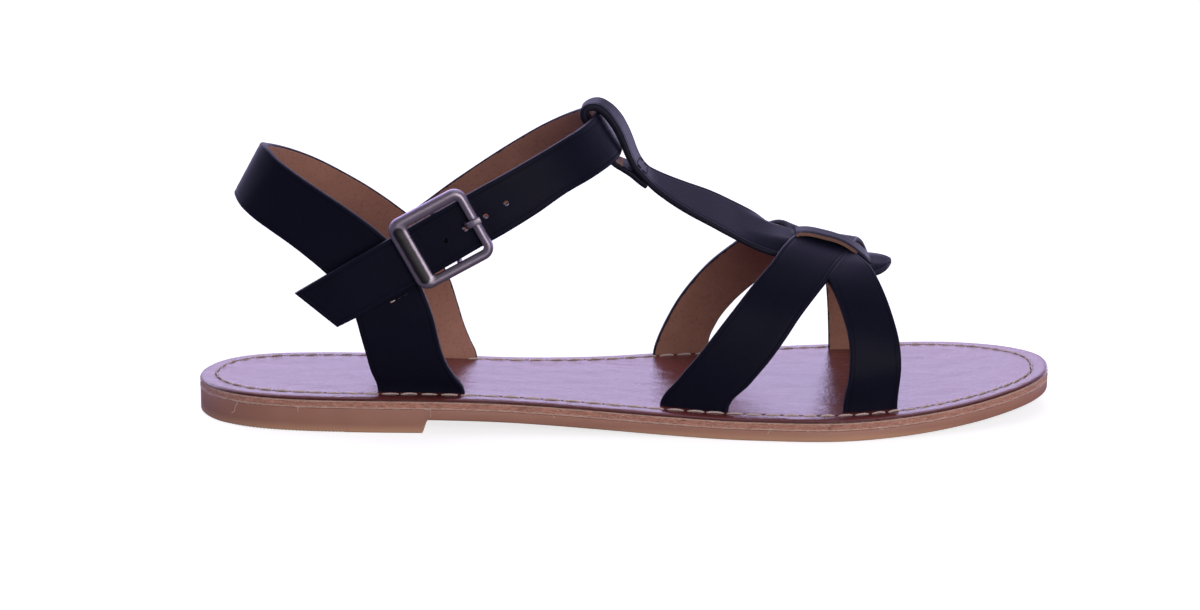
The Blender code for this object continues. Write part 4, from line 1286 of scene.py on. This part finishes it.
class SANDAL_OT_front_straps(SandalOperator, bpy.types.Operator):
    """Build the T-strap with its loop and bridge, and the two vamp straps"""

    bl_idname = "sandal.front_straps"
    bl_label = "Front straps"

    def execute(self, context):
        sizes = context.scene.sandal_sizes
        colours = context.scene.sandal_colours
        finishes = strap_finishes(colours)
        tongue = Solid()
        TongueStrap(sizes.tongue_thickness).add_to(tongue)
        fit(tongue.build("t_strap", finishes), "strap_leather", "upper_front_straps")
        vamps = (("front_vamp_strap", FRONT_VAMP_STRAP, 1.0), ("rear_vamp_strap", REAR_VAMP_STRAP, -1.0))
        for name, table, side in vamps:
            solid = Solid()
            add_strap(solid, Strap(table, sizes.strap_thickness, side))
            fit(solid.build(name, finishes), "strap_leather", "upper_front_straps")
        return {"FINISHED"}


class SANDAL_OT_heel_strap(SandalOperator, bpy.types.Operator):
    """Build the strap round the heel"""

    bl_idname = "sandal.heel_strap"
    bl_label = "Heel strap"

    def execute(self, context):
        sizes = context.scene.sandal_sizes
        colours = context.scene.sandal_colours
        solid = Solid()
        add_strap(solid, Strap(HEEL_STRAP, sizes.strap_thickness, 1.0))
        fit(solid.build("heel_strap", strap_finishes(colours)), "strap_leather", "upper_heel_strap")
        return {"FINISHED"}


class SANDAL_OT_ankle_strap(SandalOperator, bpy.types.Operator):
    """Build the ankle strap with its punched holes"""

    bl_idname = "sandal.ankle_strap"
    bl_label = "Ankle strap"

    def execute(self, context):
        sizes = context.scene.sandal_sizes
        colours = context.scene.sandal_colours
        solid = Solid()
        add_strap(solid, Strap(ANKLE_STRAP, sizes.strap_thickness, 1.0, ends=(True, True)))
        strap = solid.build("ankle_strap", strap_finishes(colours))
        for place in range(-1, 3):
            radius = HOLE_RADIUS if place else PRONG_HOLE_RADIUS
            cut(strap, hole_cutter(PRONG_HOLE + place * HOLE_PITCH, radius))
        fit(strap, "strap_leather", "upper_ankle_strap")
        return {"FINISHED"}


class SANDAL_OT_chape(SandalOperator, bpy.types.Operator):
    """Build the short strap that holds the buckle's centre bar"""

    bl_idname = "sandal.chape"
    bl_label = "Buckle strap"

    def execute(self, context):
        colours = context.scene.sandal_colours
        flat = evenly(CHAPE_PATH, 70)
        sides = (-CHAPE_HALF_WIDTH, CHAPE_HALF_WIDTH)
        table = np.hstack([to_shoe([(u, side, out) for u, out in flat]) for side in sides])
        solid = Solid()
        add_strap(solid, Strap(table, CHAPE_THICKNESS, 1.0, ends=(True, True), spacing=0.8))
        chape = solid.build("chape", strap_finishes(colours))
        rear, front, wide = PRONG_SLOT
        low, high = PRONG_SIDE - wide / 2.0, PRONG_SIDE + wide / 2.0
        slot = Solid()
        corners = ((rear, low), (front, low), (front, high), (rear, high))
        add_rings(slot, to_shoe(np.array([[(u, v, out) for u, v in corners] for out in (-8.0, 0.0)])))
        cut(chape, slot.build("prong_slot", []))
        fit(chape, "strap_leather", "buckle_strap")
        return {"FINISHED"}


class SANDAL_OT_buckle(SandalOperator, bpy.types.Operator):
    """Build the square buckle frame, its centre bar and the prong"""

    bl_idname = "sandal.buckle"
    bl_label = "Buckle"

    def execute(self, context):
        colours = context.scene.sandal_colours
        metal = [finish_of(satin_nickel, colours)]
        fit(buckle_frame(metal), "buckle_metal", "buckle_frame")
        fit(prong(metal), "buckle_metal", "buckle_prong")
        return {"FINISHED"}


# Columns: share of the way from the outer edge to the opening, height over the frame's underside
FRAME_SECTION = (
    (0.0, 0.9), (0.0, 0.45), (0.03, 0.18), (0.1, 0.0), (0.5, 0.0), (0.92, 0.0), (0.985, 0.12), (1.0, 0.4),
    (1.0, 1.35), (0.985, 1.62), (0.93, 1.82), (0.84, 2.0), (0.72, 2.2), (0.58, 2.35), (0.45, 2.4),
    (0.32, 2.32), (0.2, 2.1), (0.1, 1.8), (0.03, 1.45), (0.0, 1.15),
)

# Columns: side, up
PRONG_SECTION = (
    (-0.8, -0.45), (-0.7, -0.55), (0.7, -0.55), (0.8, -0.45), (0.92, -0.2), (0.92, 0.15), (0.8, 0.38),
    (0.55, 0.47), (0.0, 0.5), (-0.55, 0.47), (-0.8, 0.38), (-0.92, 0.15), (-0.92, -0.2),
)


def buckle_frame(metal):
    solid = Solid()
    rings, flat = [], []
    for share, height in FRAME_SECTION:
        sides = [a + (b - a) * share for a, b in zip(FRAME_SIDES, OPENING_SIDES)]
        radius = FRAME_CORNER + (OPENING_CORNER - FRAME_CORNER) * share
        flat.append(rounded_loop(sides, radius, FRAME_LIFT + height))
        rings.append(to_shoe(flat[-1]))
    rings = np.array(rings)
    flat = np.array(flat)
    # Distance from the rear bar, kept as edge_gap, that places the painted dark reflection; the underside is
    # left out
    upright = np.clip(np.abs(flat[..., 1] - 0.3) - 7.6, 0.0, 9.0)
    painted_reflection = np.hypot(flat[..., 0] - DARK_REFLECTION_BAR, upright) + 9.0 * (flat[..., 2] < FRAME_LIFT + 1.0)
    index = solid.add_sheet(rings, painted_reflection)
    index = np.vstack((index, index[:1]))
    solid.add_grid(np.hstack((index, index[:, :1])), 0)
    high, low = FRAME_SIDES[3] - 1.9, FRAME_SIDES[2] + 1.7
    rise = FRAME_LIFT + 1.2
    path = [(0.0, low, rise), (0.0, low, -1.5), (0.0, low + 0.15, BAR_DEPTH + 1.2)]
    path += [(0.0, low + 0.7, BAR_DEPTH + 0.2), (0.0, low + 1.7, BAR_DEPTH), (0.0, 0.0, BAR_DEPTH)]
    path += [(0.0, high - 1.7, BAR_DEPTH), (0.0, high - 0.7, BAR_DEPTH + 0.2)]
    path += [(0.0, high - 0.15, BAR_DEPTH + 1.2), (0.0, high, -1.5), (0.0, high, rise)]
    along = buckle_matrix().to_3x3() @ Vector((1.0, 0.0, 0.0))
    sweep(solid, to_shoe(evenly(path, 80)), circle(BAR_RADIUS, 16), along)
    return solid.build("buckle_frame_metal", metal)


def prong(metal):
    solid = Solid()
    flat = evenly(PRONG_PATH, 70)
    path = to_shoe([(u, PRONG_SIDE, out) for u, out in flat])
    lead = unit(np.gradient(path, axis=0))
    side = np.array(buckle_matrix().to_3x3() @ Vector((0.0, 1.0, 0.0)))
    sweep(solid, path, PRONG_SECTION, np.cross(side, lead) * -1.0)
    return solid.build("buckle_prong_metal", metal)


# Stitching


def add_stitch(solid, start, end, up, thread, rise, lean=0.0, turn=0.0, finish=0):
    """One stitch of two twisted plies from hole to hole, drawn down at both ends."""
    start, end, up = (np.asarray(v, dtype=float) for v in (start, end, up))
    share = np.linspace(0.0, 1.0, 20)[:, None]
    lead = end - start
    side = unit(np.cross(up, lead))
    arc = np.sin(math.pi * share) ** 0.3
    middle = start + lead * share + up * (arc * (rise + 3.0 * thread) - 3.0 * thread)
    middle = middle + side * (share - 0.5) * lean
    swirl = share * np.linalg.norm(lead) * math.tau / (9.0 * thread) + turn
    for ply in (0.0, math.pi):
        offset = side * np.cos(swirl + ply) + up * np.sin(swirl + ply)
        sweep(solid, middle + offset * thread * 0.75, circle(thread, 6), up, finish)


def on_tongue(distance, share):
    """Point and normal on the T-strap's grain side."""
    edges = sample(T_STRAP, [distance - 0.2, distance, distance + 0.2])
    points = edges[:, :3] * (1.0 - share) + edges[:, 3:] * share
    normal = unit(np.cross(points[2] - points[0], edges[1, 3:] - edges[1, :3]))
    return points[1], normal


class SANDAL_OT_stitching(SandalOperator, bpy.types.Operator):
    """Sew the insole round its edge with a two-ply thread"""

    bl_idname = "sandal.stitching"
    bl_label = "Sole stitching"

    def execute(self, context):
        sizes = context.scene.sandal_sizes
        colours = context.scene.sandal_colours
        solid = Solid()
        line = Outline(400).inset(sizes.stitch_inset)
        line = np.vstack((line, line[:1]))
        steps = np.linalg.norm(np.diff(line, axis=0), axis=1)
        lengths = np.concatenate(([0.0], np.cumsum(steps)))
        holes = [0.0]
        while holes[-1] < lengths[-1]:
            x = np.interp(holes[-1], lengths, line[:, 0])
            holes.append(holes[-1] + np.interp(x, *np.transpose(STITCH_PITCH)))
        holes = np.array(holes) * lengths[-1] / holes[-1]
        draw = np.random.default_rng(11)
        for start, end in zip(holes[:-1], holes[1:]):
            ends = np.array([start + 0.35, end - 0.35]) + draw.uniform(-0.15, 0.15, 2)
            x, y = (np.interp(ends, lengths, line[:, c]) for c in (0, 1))
            low, high = (np.array((x[k], y[k], cover_top(x[k]))) for k in (0, 1))
            lean = 0.45 + draw.uniform(-0.15, 0.2)
            rise = 0.1 + draw.uniform(-0.05, 0.08)
            add_stitch(solid, low, high, (0.0, 0.0, 1.0), sizes.thread, rise, lean, draw.uniform(0.0, 6.0))
        thread = solid.build("sole_stitching", [waxed_thread("sole_thread", colours.thread)], THREAD_ANGLE)
        fit(thread, "insole_leather")
        return {"FINISHED"}


class SANDAL_OT_strap_stitches(SandalOperator, bpy.types.Operator):
    """Sew the loop's box stitch and the end of the buckle strap"""

    bl_idname = "sandal.strap_stitches"
    bl_label = "Strap stitches"

    def execute(self, context):
        sizes = context.scene.sandal_sizes
        colours = context.scene.sandal_colours
        solid = Solid()
        for first, last in zip(BOX_STITCH[:-1], BOX_STITCH[1:]):
            (start, up), (end, _) = on_tongue(*first), on_tongue(*last)
            gap = (end - start) * 0.1
            add_stitch(solid, start + gap, end - gap, up, sizes.thread * 0.7, 0.06)
        rows = zip(CHAPE_STITCHES[:-1], CHAPE_STITCHES[1:], (1, 0, 0))
        for first, last, finish in rows:
            start, end = np.array(first), np.array(last)
            gap = (end - start) * 0.14
            up = (0.0, -1.0, 0.0)
            add_stitch(solid, start + gap, end - gap, up, sizes.thread * 0.7, 0.1, finish=finish)
        threads = [waxed_thread("strap_thread", shade(colours.strap, 1.4)),
                   waxed_thread("pale_thread", colours.thread)]
        fit(solid.build("strap_stitches", threads, THREAD_ANGLE), "strap_leather")
        return {"FINISHED"}


class SANDAL_OT_fibres(SandalOperator, bpy.types.Operator):
    """Pull loose fibres and a few thread ends out of the board's cut edge"""

    bl_idname = "sandal.fibres"
    bl_label = "Loose fibres"

    def execute(self, context):
        sizes = context.scene.sandal_sizes
        solid = Solid()
        outline = Outline(400)
        edge = outline.inset(-0.03)
        lead = unit(np.roll(edge, -1, axis=0) - edge)
        draw = np.random.default_rng(5)
        for k in range(sizes.fibres):
            i = int(draw.integers(len(edge)))
            x, y = edge[i]
            at_top = k % 4 == 0
            if at_top:
                height = board_top(x) - draw.uniform(0.0, 0.12)
            else:
                height = board_low(x) + draw.uniform(-0.12, 0.25)
            length = draw.uniform(0.5, 1.2 if at_top else 1.9)
            rise = draw.uniform(-0.25, 0.12) * (0.3 if at_top else 1.0)
            self.fibre(solid, (x, y, height), lead[i], -outline.inward[i], length, rise, draw)
        for x, drop, length in LOOSE_THREADS:
            y = edge_of_sole(x)[0]
            path = np.array([(x, y + 0.1, board_low(x) + 0.2), (x + 0.15, y - 0.25, board_low(x) - 0.1),
                             (x + 0.35 * length, y - 0.22, board_low(x) - 0.55 * drop),
                             (x + 0.5 * length, y - 0.2, board_low(x) - 0.9 * drop),
                             (x + length, y - 0.24, board_low(x) - drop)])
            sweep(solid, evenly(path, 12), circle(0.07, 5), (0.0, -1.0, 0.0))
        loose = solid.build("board_fibres", [waxed_thread("board_fibre", FIBRE_TINT)], THREAD_ANGLE)
        fit(loose, "midsole_board")
        return {"FINISHED"}

    def fibre(self, solid, start, lead, outward, length, rise, draw):
        share = np.linspace(0.0, 1.0, 5)
        swing = draw.uniform(0.02, 0.16) * np.sin(math.pi * share)
        bend = draw.uniform(-0.12, 0.12) * np.sin(math.pi * share)
        flat = np.array(start[:2]) + np.outer(share * length, lead) + np.outer(swing, outward)
        path = np.column_stack((flat, start[2] + rise * share + bend))
        sweep(solid, path, circle(draw.uniform(0.03, 0.05), 3), (0.0, 0.0, 1.0))


# Stage


FLOOR_HALF = 3.0

# Columns: name, place, target, size, power, colour
LIGHTS = (
    ("top_light", (0.0, 0.4, 1.4), (0.0, 0.0, 0.02), 1.6, 8.0, (0.86, 0.8, 1.0)),
    ("front_light", (0.46, -1.3, 0.35), (0.0, 0.0, 0.04), 1.1, 17.5, (1.0, 0.95, 0.93)),
)

# The camera looks down at its target, in millimetres, from this many metres away
VIEW_TARGET = (-7.352941176, -2.4, 30.0)
VIEW_DOWN = 13.8
VIEW_DISTANCE = 1.1
VIEW_LENS = 112.2
SENSOR_WIDTH = 36.0


class SANDAL_OT_stage(SandalOperator, bpy.types.Operator):
    """Set the pale floor, soft lights and camera"""

    bl_idname = "sandal.stage"
    bl_label = "Stage"

    def execute(self, context):
        floor = bpy.data.meshes.new("floor")
        corners = [(-FLOOR_HALF, -FLOOR_HALF, 0.0), (FLOOR_HALF, -FLOOR_HALF, 0.0),
                   (FLOOR_HALF, FLOOR_HALF, 0.0), (-FLOOR_HALF, FLOOR_HALF, 0.0)]
        floor.from_pydata(corners, [], [(0, 1, 2, 3)])
        ground = bpy.data.objects.new("floor", floor)
        bpy.context.scene.collection.objects.link(ground)
        floor.materials.append(finish_of(pale_floor, context.scene.sandal_colours))
        for light in LIGHTS:
            studio_light(*light)
        sky()
        camera()
        bpy.context.scene.view_settings.view_transform = "Standard"
        return {"FINISHED"}


def pale_floor(recipe, _colours):
    """Lit floor that looks white and throws little light back up on the shoe."""
    matt = {"Roughness": 0.9, "Specular IOR Level": 0.0, "Emission Color": WHITE}
    bright = recipe.node("ShaderNodeBsdfPrincipled",
                         values={**matt, "Base Color": (0.5, 0.5, 0.5), "Emission Strength": 0.75})
    back = recipe.part_of(recipe.place(), "Y")
    sweep_light = recipe.mix(recipe.step(back, 60.0, 420.0), (0.03, 0.03, 0.04), LILAC_TINT)
    dim = recipe.node("ShaderNodeBsdfPrincipled",
                      values={**matt, "Base Color": (0.12, 0.11, 0.12), "Emission Color": sweep_light,
                              "Emission Strength": 2.6})
    seen = recipe.node("ShaderNodeLightPath", output="Is Camera Ray")
    both = recipe.node("ShaderNodeMixShader", values={0: seen, 1: dim, 2: bright})
    recipe.node("ShaderNodeOutputMaterial", values={"Surface": both})


def studio_light(name, place, target, size, power, colour):
    light = bpy.data.lights.new(name, "AREA")
    light.size = size
    light.energy = power
    light.color = colour
    lamp = bpy.data.objects.new(name, light)
    lamp.location = place
    lamp.rotation_euler = (Vector(target) - Vector(place)).to_track_quat("-Z", "Y").to_euler()
    bpy.context.scene.collection.objects.link(lamp)


def sky():
    """White to the eye; to the shoe, a lilac wall behind, a soft lamp above and darkness in front."""
    world = bpy.data.worlds.new("studio")
    bpy.context.scene.world = world
    recipe = Recipe(world)
    direction = recipe.node("ShaderNodeTexCoord", output="Generated")
    across, back, up = (recipe.part_of(direction, axis) for axis in "XYZ")
    low = recipe.step(up, 0.15, 0.38).most(recipe.step(across, 0.18, 0.36))
    high = recipe.step(up, 0.8, 0.45)
    right = recipe.step(across, 0.34, 0.06).most(recipe.step(up, 0.26, 0.1))
    wall = recipe.step(back, -0.1, 0.6) * recipe.step(up, 0.97, 0.7) * (low * 0.7 + 0.3) * (high * 0.7 + 0.3)
    wall = wall * (right * 0.75 + 0.25)
    lamp = recipe.step(up, 0.6, 0.95)
    sides = recipe.step(abs(across), 0.35, 0.9) * recipe.step(up, 0.8, 0.3)
    tint = recipe.mix(lamp.most(sides), LILAC_TINT, (0.70, 0.66, 1.0))
    glow = wall * 4.6 + lamp * 0.2 + sides * 0.4 + 0.02
    soft = recipe.node("ShaderNodeBackground", values={"Color": tint, "Strength": glow})
    white = recipe.node("ShaderNodeBackground", values={"Color": WHITE, "Strength": 1.0})
    seen = recipe.node("ShaderNodeLightPath", output="Is Camera Ray")
    both = recipe.node("ShaderNodeMixShader", values={0: seen, 1: soft, 2: white})
    recipe.node("ShaderNodeOutputWorld", values={"Surface": both})


def camera():
    lens = bpy.data.cameras.new("camera")
    lens.sensor_width = SENSOR_WIDTH
    lens.sensor_fit = "HORIZONTAL"
    lens.lens = VIEW_LENS
    lens.clip_start = 0.01
    lens.clip_end = 50.0
    viewer = bpy.data.objects.new("camera", lens)
    target = Vector(VIEW_TARGET) * MM
    tilt = math.radians(VIEW_DOWN)
    viewer.location = target + Vector((0.0, -math.cos(tilt), math.sin(tilt))) * VIEW_DISTANCE
    viewer.rotation_euler = (target - viewer.location).to_track_quat("-Z", "Y").to_euler()
    bpy.context.scene.collection.objects.link(viewer)
    bpy.context.scene.camera = viewer


class SANDAL_PT_panel(bpy.types.Panel):
    """Building steps of the sandal"""

    bl_label = "T-strap sandal"
    bl_idname = "SANDAL_PT_panel"
    bl_space_type = "VIEW_3D"
    bl_region_type = "UI"
    bl_category = "Sandal"

    def draw(self, context):
        for group in (context.scene.sandal_sizes, context.scene.sandal_colours):
            for name in group.bl_rna.properties.keys():
                if name not in {"rna_type", "name"}:
                    self.layout.prop(group, name)
        for operator in OPERATORS:
            self.layout.operator(operator.bl_idname)


OPERATORS = (
    SANDAL_OT_outsole,
    SANDAL_OT_board,
    SANDAL_OT_insole,
    SANDAL_OT_front_straps,
    SANDAL_OT_heel_strap,
    SANDAL_OT_ankle_strap,
    SANDAL_OT_chape,
    SANDAL_OT_buckle,
    SANDAL_OT_stitching,
    SANDAL_OT_strap_stitches,
    SANDAL_OT_fibres,
    SANDAL_OT_stage,
)
CLASSES = (SandalSizes, SandalColours, *OPERATORS, SANDAL_PT_panel)


def register():
    for cls in CLASSES:
        bpy.utils.register_class(cls)
    bpy.types.Scene.sandal_sizes = PointerProperty(type=SandalSizes)
    bpy.types.Scene.sandal_colours = PointerProperty(type=SandalColours)


def unregister():
    del bpy.types.Scene.sandal_colours
    del bpy.types.Scene.sandal_sizes
    for cls in reversed(CLASSES):
        bpy.utils.unregister_class(cls)


def main():
    """Build every piece in order."""
    register()
    for operator in OPERATORS:
        group, name = operator.bl_idname.split(".")
        getattr(getattr(bpy.ops, group), name)()


if __name__ == "__main__":
    main()
